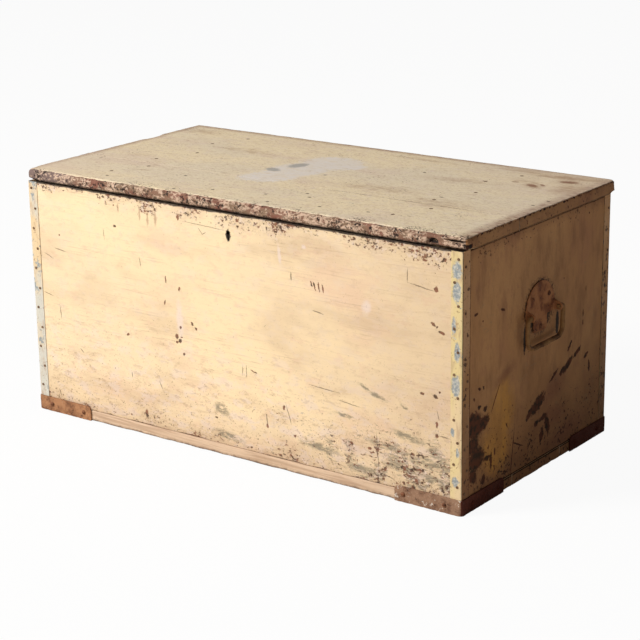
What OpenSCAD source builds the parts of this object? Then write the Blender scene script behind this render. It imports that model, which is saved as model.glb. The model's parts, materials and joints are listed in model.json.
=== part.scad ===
/* [Case] */
// Width of the case across its front
case_w = 914; // [800:2:1100]
// Depth of the case from front to back
case_d = 470; // [440:2:600]
// Height of the case without its lid
case_h = 430; // [360:2:520]
// Thickness of the front, back and end panels
panel_t = 18; // [16:1:20]
// Thickness of the bottom boards
bottom_t = 20; // [18:1:24]
// Width of the front and back bottom boards
bottom_board_w = 156; // [140:2:180]

/* [Lid] */
// Thickness of the lid boards
lid_t = 22; // [20:1:26]
// Width of the lid's front board
lid_board_w = 156; // [120:2:200]
// Overhang of the lid past the front panel
lid_over_front = 3; // [0:0.5:5]
// Overhang of the lid past the left end
lid_over_left = 1; // [0:0.5:8]
// Overhang of the lid past the right end
lid_over_right = 8; // [0:0.5:10]
// Gap between the closed lid and the case
lid_gap = 1; // [0.6:0.1:1.4]
// Thickness of the battens under the lid
batten_t = 20; // [16:1:24]
// Width of the battens under the lid
batten_w = 60; // [50:2:80]

/* [Corner iron] */
// Leg of the sheet corner angle
angle_leg = 20; // [18:1:26]
// Thickness of the corner angle
angle_t = 1; // [0.8:0.1:1.2]
// Distance between the nails in one leg of an angle
nail_pitch = 37; // [30:1:50]
// Leg of the iron bracket at each foot corner
bracket_leg = 125; // [110:5:150]
// Height of the bracket strap
bracket_h = 27; // [25:1:32]
// Thickness of the bracket strap
bracket_t = 3; // [2:0.5:3]
// Rounding of the bracket's upper end corners
bracket_r = 7; // [3:1:12]
// Rounding of the bracket's bend, outside
bracket_bend = 5; // [2:0.5:6]

/* [Handles] */
// Width of the handle plate
plate_w = 92; // [80:2:100]
// Thickness of the handle plate
plate_t = 2.5; // [2:0.5:3]
// Height of the bail's pivot above the floor
pivot_h = 279; // [240:1:300]
// Distance of the pivot from the wood
pivot_out = 12; // [11:0.5:15]
// Outer width of the bail
bail_w = 122; // [118:2:130]
// Drop of the bail from its pivot to its lowest point
bail_drop = 56; // [54:1:64]
// Thickness of the bail's rod
rod_d = 8.4; // [7.6:0.2:9]

/* [Hinges and lock] */
// Distance of each hinge from the middle of the lid
hinge_x = 290; // [240:10:320]
// Length of a hinge
hinge_len = 76; // [60:2:90]
// Radius of a hinge knuckle
knuckle_r = 3.5; // [3.3:0.1:3.5]
// Distance of the keyhole below the top of the case
keyhole_drop = 33; // [30:1:36]
// Radius of the keyhole's round part
keyhole_r = 3.5; // [3.2:0.1:4]

/* [Hidden] */
$fn = 48;

LEFT = -1;
RIGHT = 1;
FRONT = -1;
BACK = 1;
eps = 1;                 // extra length of a cutting tool past a face
seam = 0.8;              // shrinkage gap between neighbouring boards
play = 0.3;              // gap around a piece let into wood
run = 0.05;              // radial clearance of a pin that turns
in_x = case_w / 2 - panel_t;
in_y = case_d / 2 - panel_t;
screw_head_h = 2.5;
screw_stand = bracket_t + screw_head_h;

// The closed lid
lid_z = case_h + lid_gap;
lid_front = -case_d / 2 - lid_over_front;
lid_back = case_d / 2 + screw_stand;
lid_left = -case_w / 2 - lid_over_left;
lid_right = case_w / 2 + lid_over_right;
lid_seam = lid_front + lid_board_w;
batten_x = 300;
batten_end = in_y - 22;
batten_nail_y = [-170, -105, -50, 30, 110, 180];
batten_nail_step = 15;

// Hinges
leaf_t = 2;
leaf_w = 17;
knuckles = 5;
knuckle_gap = 0.3;
hinge_y = case_d / 2 + 2;
hinge_z = case_h + lid_gap / 2;
hinge_pin_r = 1.6;
hinge_notch_r = knuckle_r + 0.5;
hinge_screw_step = 28;
hinge_screw_in = 11;

// Fasteners
nail_r = 0.9;
nail_head_r = 2.2;
nail_head_h = 0.8;
nail_len = 14;
nail_columns = [7, 14];
nail_first = 12;
big_nail_r = 1.5;
big_nail_head_r = 3.2;
big_nail_head_h = 1.4;
sunk = 0.2;              // how far a driven nail head lies below the wood
screw_r = 2;
screw_head_r = 4.2;
bracket_screw_len = 25;
bracket_screw_at = [30, 108];

// Handles
ear_t = 4;
ear_r = 6.5;
ear_slope = 66;          // turn of the ear's sloping upper edge, from straight out of the wood
pin_r = 3.5;
pin_in = 40;
dome_r = plate_w / 2;
dome_z = pivot_h + 6;
plate_foot = pivot_h - 8;
tongue_w = 44;
tongue_h = 26;
dome_screw_y = 26;
dome_screw_z = pivot_h + 25;
tongue_screw_z = plate_foot - 17;
bail_bend = 18;
bail_shoulder_bend = 6;
handle_screw_len = 12;

// Lock
lock_plate_w = 96;
lock_plate_t = 1.5;
lock_case_w = 76;
lock_case_d = 14.5;
lock_wall = 1.5;
lock_h = 56;
lock_top = case_h - 2;
lock_screw_x = 43;
lock_screw_z = 20;
lock_screw_r = 1.6;
lock_screw_len = 12;
key_z = case_h - keyhole_drop;
key_slot_w = 3;
key_slot_h = 13;
link_x = 21;
link_y = -in_y + 8;
link_t = 3;
link_w = 8;
link_drop = 22;
bolt_z = lid_z - 15.5;
bolt_h = 6;
bolt_t = 4;
bolt_len = 40;
bolt_set_back = 2;
strike_w = 50;
strike_d = 14;
key_pin_r = 1.2;
key_pin_len = lock_case_d - lock_wall - 2;

// ---- Placing ----

// Puts a piece made at the back right corner at any corner
module to_corner(side, end) {
    mirror([side < 0 ? 1 : 0, 0, 0])
        mirror([0, end < 0 ? 1 : 0, 0])
            children();
}

// Puts a piece made at the right end at either end
module to_side(side) {
    mirror([side < 0 ? 1 : 0, 0, 0])
        children();
}

// ---- Fasteners, with the head's underside at the origin and the shank along -Z ----

module nail(shank_r, length, head_r, head_h) {
    cylinder(r = head_r, h = head_h);
    translate([0, 0, -length])
        cylinder(r = shank_r, h = length + head_h / 2);
}

module dome_screw(length) {
    ball_r = (screw_head_r * screw_head_r + screw_head_h * screw_head_h) / (2 * screw_head_h);
    difference() {
        intersection() {
            translate([0, 0, screw_head_h - ball_r])
                sphere(ball_r);
            cylinder(r = screw_head_r + eps, h = screw_head_h + eps);
        }
        translate([-screw_head_r, -0.5, screw_head_h - 1])
            cube([2 * screw_head_r, 1, 2]);
    }
    translate([0, 0, -length])
        cylinder(r = screw_r, h = length + 0.5);
}

// A countersunk screw, with the flat of its head at the origin
module sunk_screw(shank_r, length, head_h) {
    difference() {
        translate([0, 0, -head_h])
            cylinder(r1 = shank_r, r2 = 2 * shank_r, h = head_h);
        translate([-2 * shank_r, -0.35, -0.6])
            cube([4 * shank_r, 0.7, 1]);
    }
    translate([0, 0, -length])
        cylinder(r = shank_r, h = length - head_h);
}

// The hole that a countersunk screw sits in
module sunk_hole(shank_r, head_h) {
    translate([0, 0, -head_h])
        cylinder(r1 = shank_r + run, r2 = 2 * shank_r + run, h = head_h);
    translate([0, 0, -head_h - eps])
        cylinder(r = shank_r + run, h = head_h + eps);
}

// ---- Case panels and boards ----

module keyhole_cut(depth) {
    rotate([90, 0, 0]) {
        cylinder(r = keyhole_r, h = depth);
        translate([-key_slot_w / 2, -key_slot_h, 0])
            cube([key_slot_w, key_slot_h, depth]);
    }
}

module front_panel() {
    color("wheat")
        difference() {
            translate([-case_w / 2, -case_d / 2, bottom_t])
                cube([case_w, panel_t, case_h - bottom_t]);
            translate([0, -in_y + eps, key_z])
                keyhole_cut(panel_t + 2 * eps);
        }
}

module back_panel() {
    color("wheat")
        difference() {
            translate([-case_w / 2, in_y, bottom_t])
                cube([case_w, panel_t, case_h - bottom_t]);
            for (side = [LEFT, RIGHT])
                translate([side * hinge_x, hinge_y, hinge_z])
                    hinge_recess(-lid_gap / 2 - leaf_t);
        }
}

module end_panel(side) {
    color("tan")
        to_side(side)
            translate([in_x, -in_y, bottom_t])
                cube([panel_t, 2 * in_y, case_h - bottom_t]);
}

module bottom_board(y_from, y_to) {
    color("burlywood")
        translate([-case_w / 2, y_from, 0])
            cube([case_w, y_to - y_from, bottom_t]);
}

// ---- Corner iron ----

module corner_angle(side, end) {
    color("khaki")
        to_corner(side, end)
            translate([case_w / 2, case_d / 2, bracket_h])
                linear_extrude(case_h - bracket_h)
                    difference() {
                        translate([-angle_leg, -angle_leg])
                            square(angle_leg + angle_t);
                        translate([-angle_leg - eps, -angle_leg - eps])
                            square(angle_leg + eps);
                    }
}

// Outline of one bracket leg, from the corner outwards
module bracket_outline() {
    difference() {
        square([bracket_leg + bracket_t, bracket_h]);
        translate([bracket_leg + bracket_t - bracket_r, bracket_h - bracket_r])
            difference() {
                square(bracket_r + eps);
                circle(bracket_r);
            }
    }
}

module bracket_leg_plate() {
    difference() {
        rotate([90, 0, 0])
            linear_extrude(bracket_t)
                bracket_outline();
        for (at = bracket_screw_at)
            translate([at + bracket_t, eps, bracket_h / 2])
                rotate([90, 0, 0])
                    cylinder(r = screw_r + run, h = bracket_t + 2 * eps);
    }
}

module corner_bracket(side, end) {
    color("sienna")
        to_corner(side, end)
            translate([case_w / 2 + bracket_t, case_d / 2 + bracket_t, 0])
                difference() {
                    union() {
                        mirror([1, 0, 0])
                            bracket_leg_plate();
                        mirror([1, -1, 0])
                            mirror([1, 0, 0])
                                bracket_leg_plate();
                    }
                    bracket_bend_cut();
                }
}

// What is cut away to round the bracket's bend
module bracket_bend_cut() {
    translate([-bracket_bend, -bracket_bend, -eps])
        difference() {
            cube([bracket_bend + eps, bracket_bend + eps, bracket_h + 2 * eps]);
            cylinder(r = bracket_bend, h = bracket_h + 2 * eps);
        }
}

module angle_nails() {
    count = floor((case_h - bracket_h - 2 * nail_first) / nail_pitch) + 1;
    color("slategray")
        for (side = [LEFT, RIGHT], end = [FRONT, BACK], i = [0:count - 1])
            to_corner(side, end) {
                z = case_h - nail_first - i * nail_pitch;
                translate([case_w / 2 - nail_columns[i % 2], case_d / 2 + angle_t, z])
                    rotate([-90, 0, 0])
                        nail(nail_r, nail_len, nail_head_r, nail_head_h);
                translate([case_w / 2 + angle_t, case_d / 2 - nail_columns[i % 2], z - nail_pitch / 3])
                    rotate([0, 90, 0])
                        nail(nail_r, nail_len, nail_head_r, nail_head_h);
            }
}

module bracket_screws() {
    color("saddlebrown")
        for (side = [LEFT, RIGHT], end = [FRONT, BACK], at = bracket_screw_at)
            to_corner(side, end) {
                translate([case_w / 2 - at, case_d / 2 + bracket_t, bracket_h / 2])
                    rotate([-90, 0, 0])
                        dome_screw(bracket_screw_len);
                translate([case_w / 2 + bracket_t, case_d / 2 - at, bracket_h / 2])
                    rotate([0, 90, 0])
                        dome_screw(bracket_screw_len);
            }
}

// ---- Nails of the case ----

// Nails through the front and back into the ends, midway between the angles' own nails
module panel_nails() {
    rows = 5;
    color("dimgray")
        for (side = [LEFT, RIGHT], end = [FRONT, BACK], i = [0:rows - 1])
            to_corner(side, end)
                translate([
                    case_w / 2 - panel_t / 2,
                    case_d / 2 - big_nail_head_h - sunk,
                    case_h - nail_first - (2 * i + 5 / 3) * nail_pitch
                ])
                    rotate([-90, 0, 0])
                        nail(big_nail_r, 45, big_nail_head_r, big_nail_head_h);
}

// Nails driven up through the bottom boards into the panels
module bottom_nails() {
    long_side = 9;
    short_side = 4;
    edge = panel_t / 2;
    color("dimgray")
        translate([0, 0, big_nail_head_h + sunk])
            mirror([0, 0, 1]) {
                for (end = [FRONT, BACK], i = [0:long_side - 1])
                    translate([(i - (long_side - 1) / 2) * 100, end * (case_d / 2 - edge), 0])
                        nail(big_nail_r, 45, big_nail_head_r, big_nail_head_h);
                for (side = [LEFT, RIGHT], i = [0:short_side - 1])
                    translate([side * (case_w / 2 - edge), (i - (short_side - 1) / 2) * 100, 0])
                        nail(big_nail_r, 45, big_nail_head_r, big_nail_head_h);
            }
}

// ---- Handles ----

// Outline of the plate, seen from outside, with X across and Y up
module plate_outline() {
    translate([0, dome_z])
        intersection() {
            circle(dome_r);
            translate([-dome_r, 0])
                square([2 * dome_r, dome_r]);
        }
    translate([-dome_r, plate_foot])
        square([2 * dome_r, dome_z - plate_foot]);
    translate([-tongue_w / 2, plate_foot - tongue_h + bracket_r])
        square([tongue_w, tongue_h - bracket_r]);
    for (y = [-1, 1])
        translate([y * (tongue_w / 2 - bracket_r), plate_foot - tongue_h + bracket_r])
            circle(bracket_r);
    translate([-tongue_w / 2 + bracket_r, plate_foot - tongue_h])
        square([tongue_w - 2 * bracket_r, bracket_r]);
}

// Outline of one ear, seen from the side, with X outwards from the wood and its upper edge sloping
module ear_outline() {
    touch_x = pivot_out + ear_r * cos(ear_slope);
    touch_z = pivot_h + ear_r * sin(ear_slope);
    difference() {
        union() {
            polygon([
                [plate_t / 2, pivot_h - ear_r],
                [pivot_out, pivot_h - ear_r],
                [pivot_out, pivot_h],
                [touch_x, touch_z],
                [plate_t / 2, touch_z + (touch_x - plate_t / 2) / tan(ear_slope)]
            ]);
            translate([pivot_out, pivot_h])
                circle(ear_r);
        }
        translate([pivot_out, pivot_h])
            circle(pin_r + run);
    }
}

module handle_plate(side) {
    color("peru")
        to_side(side)
            translate([case_w / 2, 0, 0]) {
                difference() {
                    rotate([90, 0, 90])
                        linear_extrude(plate_t)
                            plate_outline();
                    for (at = handle_screw_places())
                        translate([-eps, at[0], at[1]])
                            rotate([0, 90, 0])
                                cylinder(r = screw_r + run, h = plate_t + 2 * eps);
                }
                for (y = [-plate_w / 2 + ear_t, plate_w / 2])
                    translate([0, y, 0])
                        rotate([90, 0, 0])
                            linear_extrude(ear_t)
                                ear_outline();
            }
}

function handle_screw_places() = [
    [-dome_screw_y, dome_screw_z],
    [dome_screw_y, dome_screw_z],
    [0, tongue_screw_z]
];

module handle_screws(side) {
    color("saddlebrown")
        to_side(side)
            for (at = handle_screw_places())
                translate([case_w / 2 + plate_t, at[0], at[1]])
                    rotate([0, 90, 0])
                        dome_screw(handle_screw_len);
}

// A quarter bend of rod, from the +X arm round to the +Y arm
module rod_bend(bend_r) {
    rotate_extrude(angle = 90)
        translate([bend_r, 0])
            circle(rod_d / 2);
}

// Half of the bail hanging from its pivot: Y across, Z up, pivot at the origin
module bail_half() {
    arm_y = bail_w / 2 - rod_d / 2;
    low_z = -bail_drop + rod_d / 2;
    shoulder_y = arm_y - bail_shoulder_bend;
    translate([0, pin_in, 0])
        rotate([-90, 0, 0])
            cylinder(r = pin_r, h = shoulder_y - pin_in);
    translate([0, plate_w / 2 + 1, 0])
        rotate([-90, 0, 0])
            cylinder(r = rod_d / 2, h = shoulder_y - plate_w / 2 - 1);
    translate([0, shoulder_y, -bail_shoulder_bend])
        rotate([90, 0, 90])
            rod_bend(bail_shoulder_bend);
    translate([0, arm_y, low_z + bail_bend])
        cylinder(r = rod_d / 2, h = -bail_shoulder_bend - low_z - bail_bend);
    translate([0, arm_y - bail_bend, low_z + bail_bend])
        mirror([0, 0, 1])
            rotate([90, 0, 90])
                rod_bend(bail_bend);
    translate([0, 0, low_z])
        rotate([-90, 0, 0])
            cylinder(r = rod_d / 2, h = arm_y - bail_bend);
}

module handle_bail(side) {
    color("peru")
        to_side(side)
            translate([case_w / 2 + pivot_out, 0, pivot_h]) {
                bail_half();
                mirror([0, 1, 0])
                    bail_half();
            }
}

// ---- Lock ----

module lock_screw_places() {
    for (x = [-lock_screw_x, lock_screw_x], z = [-lock_screw_z, lock_screw_z])
        translate([x, -in_y + lock_plate_t, lock_top - lock_h / 2 + z])
            rotate([-90, 0, 0])
                children();
}

module lock_plate() {
    color("darkgray")
        difference() {
            translate([-lock_plate_w / 2, -in_y, lock_top - lock_h])
                cube([lock_plate_w, lock_plate_t, lock_h]);
            translate([0, -in_y + lock_plate_t + eps, key_z])
                keyhole_cut(lock_plate_t + 2 * eps);
            lock_screw_places()
                sunk_hole(lock_screw_r, lock_plate_t);
        }
}

module lock_case() {
    y0 = -in_y + lock_plate_t;
    color("gray")
        difference() {
            translate([-lock_case_w / 2, y0, lock_top - lock_h])
                cube([lock_case_w, lock_case_d, lock_h]);
            translate([-lock_case_w / 2 + lock_wall, y0 - eps, lock_top - lock_h + lock_wall])
                cube([
                    lock_case_w - 2 * lock_wall,
                    lock_case_d - lock_wall + eps,
                    lock_h - 2 * lock_wall
                ]);
            translate([link_x - link_t / 2 - eps, link_y - link_w / 2 - eps / 2, lock_top - lock_wall - eps])
                cube([link_t + 2 * eps, link_w + 2 * eps, lock_wall + 2 * eps]);
        }
}

module lock_key_pin() {
    color("silver")
        translate([0, -in_y + lock_plate_t + lock_case_d - lock_wall, key_z])
            rotate([90, 0, 0])
                cylinder(r = key_pin_r, h = key_pin_len);
}

module lock_screws() {
    color("dimgray")
        lock_screw_places()
            sunk_screw(lock_screw_r, lock_screw_len, lock_plate_t);
}

// The bolt, drawn back, with a talon that the key pushes
module lock_bolt() {
    nose = link_x - link_t / 2 - bolt_set_back;
    talon_w = 18;
    talon_h = 10;
    notch_w = 8;
    color("goldenrod")
        difference() {
            union() {
                translate([nose - bolt_len, link_y - bolt_t / 2, bolt_z - bolt_h / 2])
                    cube([bolt_len, bolt_t, bolt_h]);
                translate([-talon_w / 2, link_y - bolt_t / 2, bolt_z - bolt_h / 2 - talon_h])
                    cube([talon_w, bolt_t, talon_h + eps]);
            }
            translate([-notch_w / 2, link_y - bolt_t, bolt_z - bolt_h / 2 - talon_h - eps])
                cube([notch_w, 2 * bolt_t, talon_h - 2 + eps]);
        }
}

module lock_strike() {
    color("silver") {
        difference() {
            translate([link_x - strike_w / 2, link_y - strike_d / 2, lid_z])
                cube([strike_w, strike_d, leaf_t]);
            strike_screw_places()
                sunk_hole(lock_screw_r, leaf_t);
        }
        difference() {
            translate([link_x - link_t / 2, link_y - link_w / 2, lid_z - link_drop])
                cube([link_t, link_w, link_drop + leaf_t / 2]);
            translate([link_x - link_t, link_y - bolt_t / 2 - 0.5, bolt_z - bolt_h / 2 - 1])
                cube([2 * link_t, bolt_t + 1, bolt_h + 2]);
        }
    }
}

module strike_screw_places() {
    for (x = [-17, 17])
        translate([link_x + x, link_y, lid_z])
            mirror([0, 0, 1])
                children();
}

module strike_screws() {
    color("dimgray")
        strike_screw_places()
            sunk_screw(lock_screw_r, lock_screw_len, leaf_t);
}

// ---- Hinges, with the pin along X through the origin ----

function knuckle_len() = (hinge_len - (knuckles - 1) * knuckle_gap) / knuckles;
function knuckle_x(i) = -hinge_len / 2 + i * (knuckle_len() + knuckle_gap);

// The wood cut away for one leaf, whose lower face is at leaf_z, and for the knuckles
module hinge_recess(leaf_z) {
    translate([-hinge_len / 2 - play, -leaf_w - play, leaf_z])
        cube([hinge_len + 2 * play, leaf_w + play, leaf_t]);
    translate([-hinge_len / 2 - 3, 0, 0])
        rotate([0, 90, 0])
            cylinder(r = hinge_notch_r, h = hinge_len + 6);
}

module leaf_screw_places(face_z) {
    for (i = [-1, 0, 1])
        translate([i * hinge_screw_step, -hinge_screw_in, face_z])
            children();
}

// A leaf with its own knuckles: the first is number "first", and the leaf lies above (up = 1) or below the pin
module hinge_leaf(first, up) {
    plate_z = up > 0 ? lid_gap / 2 : -lid_gap / 2 - leaf_t;
    difference() {
        union() {
            translate([-hinge_len / 2, -leaf_w, plate_z])
                cube([hinge_len, leaf_w, leaf_t]);
            for (i = [first:2:knuckles - 1])
                translate([knuckle_x(i), 0, 0])
                    rotate([0, 90, 0])
                        cylinder(r = knuckle_r, h = knuckle_len());
        }
        for (i = [1 - first:2:knuckles - 1])
            translate([knuckle_x(i) - knuckle_gap, 0, 0])
                rotate([0, 90, 0])
                    cylinder(r = hinge_notch_r, h = knuckle_len() + 2 * knuckle_gap);
        translate([-hinge_len, 0, 0])
            rotate([0, 90, 0])
                cylinder(r = hinge_pin_r + run, h = 2 * hinge_len);
    }
}

module hinge_case_leaf(side) {
    color("darkgray")
        translate([side * hinge_x, hinge_y, hinge_z])
            difference() {
                hinge_leaf(0, -1);
                leaf_screw_places(-lid_gap / 2)
                    sunk_hole(lock_screw_r, leaf_t);
            }
}

module hinge_lid_leaf(side) {
    color("darkgray")
        translate([side * hinge_x, hinge_y, hinge_z])
            difference() {
                hinge_leaf(1, 1);
                leaf_screw_places(lid_gap / 2)
                    mirror([0, 0, 1])
                        sunk_hole(lock_screw_r, leaf_t);
            }
}

module hinge_pin(side) {
    head_h = 1.5;
    color("silver")
        translate([side * hinge_x, hinge_y, hinge_z])
            rotate([0, 90, 0]) {
                translate([0, 0, -hinge_len / 2 - head_h])
                    cylinder(r = hinge_pin_r, h = hinge_len + 2 * head_h);
                for (z = [-hinge_len / 2 - head_h, hinge_len / 2])
                    translate([0, 0, z])
                        cylinder(r = knuckle_r - 0.5, h = head_h);
            }
}

module hinge_case_screws() {
    color("dimgray")
        for (side = [LEFT, RIGHT])
            translate([side * hinge_x, hinge_y, hinge_z])
                leaf_screw_places(-lid_gap / 2)
                    sunk_screw(lock_screw_r, lock_screw_len, leaf_t);
}

module hinge_lid_screws() {
    color("dimgray")
        for (side = [LEFT, RIGHT])
            translate([side * hinge_x, hinge_y, hinge_z])
                leaf_screw_places(lid_gap / 2)
                    mirror([0, 0, 1])
                        sunk_screw(lock_screw_r, lock_screw_len, leaf_t);
}

// ---- Lid ----

// Section of the whole lid, seen from the right end, with softened long edges
module lid_section() {
    soft = 6;
    depth = lid_back - lid_front;
    for (y = [soft, depth - soft], z = [soft, lid_t - soft])
        translate([y, z])
            circle(soft);
    translate([soft, 0])
        square([depth - 2 * soft, lid_t]);
    translate([0, soft])
        square([depth, lid_t - 2 * soft]);
}

module lid_body(y_from, y_to) {
    intersection() {
        translate([lid_left, lid_front, lid_z])
            rotate([90, 0, 90])
                linear_extrude(lid_right - lid_left)
                    lid_section();
        translate([lid_left - eps, y_from, lid_z - eps])
            cube([lid_right - lid_left + 2 * eps, y_to - y_from, lid_t + 2 * eps]);
    }
}

module lid_front_board() {
    color("wheat")
        difference() {
            lid_body(lid_front - eps, lid_seam);
            translate([
                link_x - strike_w / 2 - play,
                link_y - strike_d / 2 - play,
                lid_z - eps
            ])
                cube([strike_w + 2 * play, strike_d + 2 * play, leaf_t + eps]);
        }
}

module lid_back_board() {
    color("wheat")
        difference() {
            lid_body(lid_seam + seam, lid_back + eps);
            for (side = [LEFT, RIGHT])
                translate([side * hinge_x, hinge_y, hinge_z]) {
                    hinge_recess(lid_gap / 2);
                    translate([-hinge_len / 2 - 3, 0, 0])
                        cube([hinge_len + 6, screw_stand, hinge_notch_r]);
                }
        }
}

module lid_batten(side) {
    color("tan")
        translate([side * batten_x - batten_w / 2, -batten_end, lid_z - batten_t])
            cube([batten_w, 2 * batten_end, batten_t]);
}

module lid_nails() {
    color("dimgray")
        for (side = [LEFT, RIGHT], i = [0:len(batten_nail_y) - 1])
            translate([
                side * batten_x + (i % 2 == 0 ? -batten_nail_step : batten_nail_step),
                batten_nail_y[i],
                lid_z + lid_t - big_nail_head_h - sunk
            ])
                nail(big_nail_r, 36, big_nail_head_r, big_nail_head_h);
}

// ---- Nodes ----

front_panel();
back_panel();
end_panel(LEFT);  // left_end
end_panel(RIGHT);  // right_end
bottom_board(-case_d / 2, -case_d / 2 + bottom_board_w);  // bottom_board_front
bottom_board(-case_d / 2 + bottom_board_w + seam, case_d / 2 - bottom_board_w - seam);  // bottom_board_middle
bottom_board(case_d / 2 - bottom_board_w, case_d / 2);  // bottom_board_back
corner_angle(LEFT, FRONT);  // corner_angle_front_left
corner_angle(RIGHT, FRONT);  // corner_angle_front_right
corner_angle(LEFT, BACK);  // corner_angle_back_left
corner_angle(RIGHT, BACK);  // corner_angle_back_right
corner_bracket(LEFT, FRONT);  // corner_bracket_front_left
corner_bracket(RIGHT, FRONT);  // corner_bracket_front_right
corner_bracket(LEFT, BACK);  // corner_bracket_back_left
corner_bracket(RIGHT, BACK);  // corner_bracket_back_right
angle_nails();
bracket_screws();
panel_nails();
bottom_nails();
handle_plate(RIGHT);  // handle_plate_right
handle_plate(LEFT);  // handle_plate_left
handle_screws(RIGHT);  // handle_screws_right
handle_screws(LEFT);  // handle_screws_left
handle_bail(RIGHT);  // handle_bail_right
handle_bail(LEFT);  // handle_bail_left
lock_plate();
lock_case();
lock_key_pin();
lock_screws();
lock_bolt();
hinge_case_leaf(LEFT);  // hinge_case_leaf_left
hinge_case_leaf(RIGHT);  // hinge_case_leaf_right
hinge_pin(LEFT);  // hinge_pin_left
hinge_pin(RIGHT);  // hinge_pin_right
hinge_case_screws();
lid_front_board();
lid_back_board();
lid_batten(LEFT);  // lid_batten_left
lid_batten(RIGHT);  // lid_batten_right
lid_nails();
hinge_lid_leaf(LEFT);  // hinge_lid_leaf_left
hinge_lid_leaf(RIGHT);  // hinge_lid_leaf_right
hinge_lid_screws();
lock_strike();
strike_screws();
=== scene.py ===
import functools
import itertools
import json
import math

import bmesh
import bpy
import numpy as np
from mathutils import Matrix, Vector


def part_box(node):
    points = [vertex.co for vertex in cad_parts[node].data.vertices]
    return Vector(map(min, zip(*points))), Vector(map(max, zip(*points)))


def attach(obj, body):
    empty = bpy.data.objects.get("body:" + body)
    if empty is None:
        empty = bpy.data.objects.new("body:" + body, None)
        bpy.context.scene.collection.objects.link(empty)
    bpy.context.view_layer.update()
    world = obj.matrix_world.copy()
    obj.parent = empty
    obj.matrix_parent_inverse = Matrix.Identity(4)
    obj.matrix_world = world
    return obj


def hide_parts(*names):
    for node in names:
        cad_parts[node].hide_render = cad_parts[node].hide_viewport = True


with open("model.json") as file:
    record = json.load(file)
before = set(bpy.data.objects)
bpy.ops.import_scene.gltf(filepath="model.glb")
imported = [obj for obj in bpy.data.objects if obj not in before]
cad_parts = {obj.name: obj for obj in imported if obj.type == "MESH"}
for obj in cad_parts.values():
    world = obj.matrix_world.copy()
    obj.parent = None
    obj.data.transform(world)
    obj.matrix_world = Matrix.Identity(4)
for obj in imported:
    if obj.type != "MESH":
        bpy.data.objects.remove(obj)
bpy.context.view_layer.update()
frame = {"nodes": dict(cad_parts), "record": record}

# Lengths are in millimetres unless a name ends in _m. MM turns them into Blender's metres.
MM = 0.001


def box_mm(node):
    """Lowest and highest corner of a CAD node, in millimetres."""
    low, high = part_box(node)
    return np.array(low) / MM, np.array(high) / MM


FRONT_LOW, FRONT_HIGH = box_mm("front_panel")
LID_LOW, LID_HIGH = box_mm("lid_front_board")
LID_BACK_HIGH = box_mm("lid_back_board")[1]
PLATE_LOW, PLATE_HIGH = box_mm("handle_plate_right")
CASE_LEFT, CASE_RIGHT = FRONT_LOW[0], FRONT_HIGH[0]
CASE_FRONT, CASE_BACK = FRONT_LOW[1], box_mm("back_panel")[1][1]
CASE_TOP = FRONT_HIGH[2]
CASE_WIDTH = CASE_RIGHT - CASE_LEFT
CASE_DEPTH = CASE_BACK - CASE_FRONT
LID_TOP = LID_HIGH[2]
LID_SEAM = LID_HIGH[1]
LEAF = 2.0               # thickness of a hinge leaf and of the lock's strike
PLAY = 0.3               # room around a piece let into wood
KNUCKLE_ROOM = 4.0       # radius of the hollow around a hinge's knuckles
KEY_SLOT_WIDE = 3.0      # slot below the keyhole's round part
KEY_SLOT_DEEP = 13.0     # from the middle of the round part to the slot's foot
SMOOTH_TURN = 70         # degrees between faces that are still shaded as one


# ---- Shapes ----

def lattice_noise(points, size, seed):
    """Smooth noise from -1 to 1 at each point, with features about size across."""
    table = np.random.RandomState(seed).uniform(-1, 1, (32, 32, 32))
    scaled = points / size
    cell = np.floor(scaled).astype(int)
    part = scaled - cell
    part = part * part * (3 - 2 * part)
    total = np.zeros(len(points))
    for corner in itertools.product((0, 1), repeat=3):
        weight = np.prod(np.where(corner, part, 1 - part), axis=1)
        at = (cell + corner) % 32
        total += weight * table[at[:, 0], at[:, 1], at[:, 2]]
    return total


def rough_noise(points, size, seed, octaves=3):
    """Noise from about -1 to 1 with finer detail added, each octave half as large and half as strong."""
    return sum(lattice_noise(points, size / 2**i, seed + i) / 2**i for i in range(octaves)) / 1.5


def smooth_step(value, start, end):
    """Goes smoothly from 0 to 1 as value goes from start to end."""
    t = np.clip((value - start) / (end - start), 0, 1)
    return t * t * (3 - 2 * t)


def grid_line(low, high, step, edge=4.0, edge_step=1.0):
    """Places from low to high, edge_step apart near both ends and about step apart between."""
    edge = min(edge, (high - low) / 2)
    ends = np.linspace(0, edge, int(math.ceil(edge / edge_step)) + 1)
    middle = np.linspace(low + edge, high - edge, max(2, int((high - low - 2 * edge) / step) + 1))
    return np.unique(np.round(np.concatenate([low + ends, middle, high - ends]), 6))


def box_surface(lines):
    """Points and quads of a closed box cut along the given lines, and each quad's axis and side."""
    shape = [len(line) for line in lines]
    on_surface = np.zeros(shape, bool)
    on_surface[[0, -1]] = True
    on_surface[:, [0, -1]] = True
    on_surface[:, :, [0, -1]] = True
    number = np.full(shape, -1)
    number[on_surface] = np.arange(on_surface.sum())
    at = np.nonzero(on_surface)
    points = np.stack([line[i] for line, i in zip(lines, at)], 1)
    quads, facing = [], []
    for axis, end in itertools.product(range(3), (0, -1)):
        sheet = np.take(number, end, axis)
        corners = [sheet[:-1, :-1], sheet[1:, :-1], sheet[1:, 1:], sheet[:-1, 1:]]
        turned = (end == 0) != (axis == 1)
        quad = np.stack(corners[::-1] if turned else corners, -1).reshape(-1, 4)
        quads.append(quad)
        facing.append(np.full(len(quad), (axis + 1) * (1 if end else -1)))
    return points, np.concatenate(quads), np.concatenate(facing)


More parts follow.
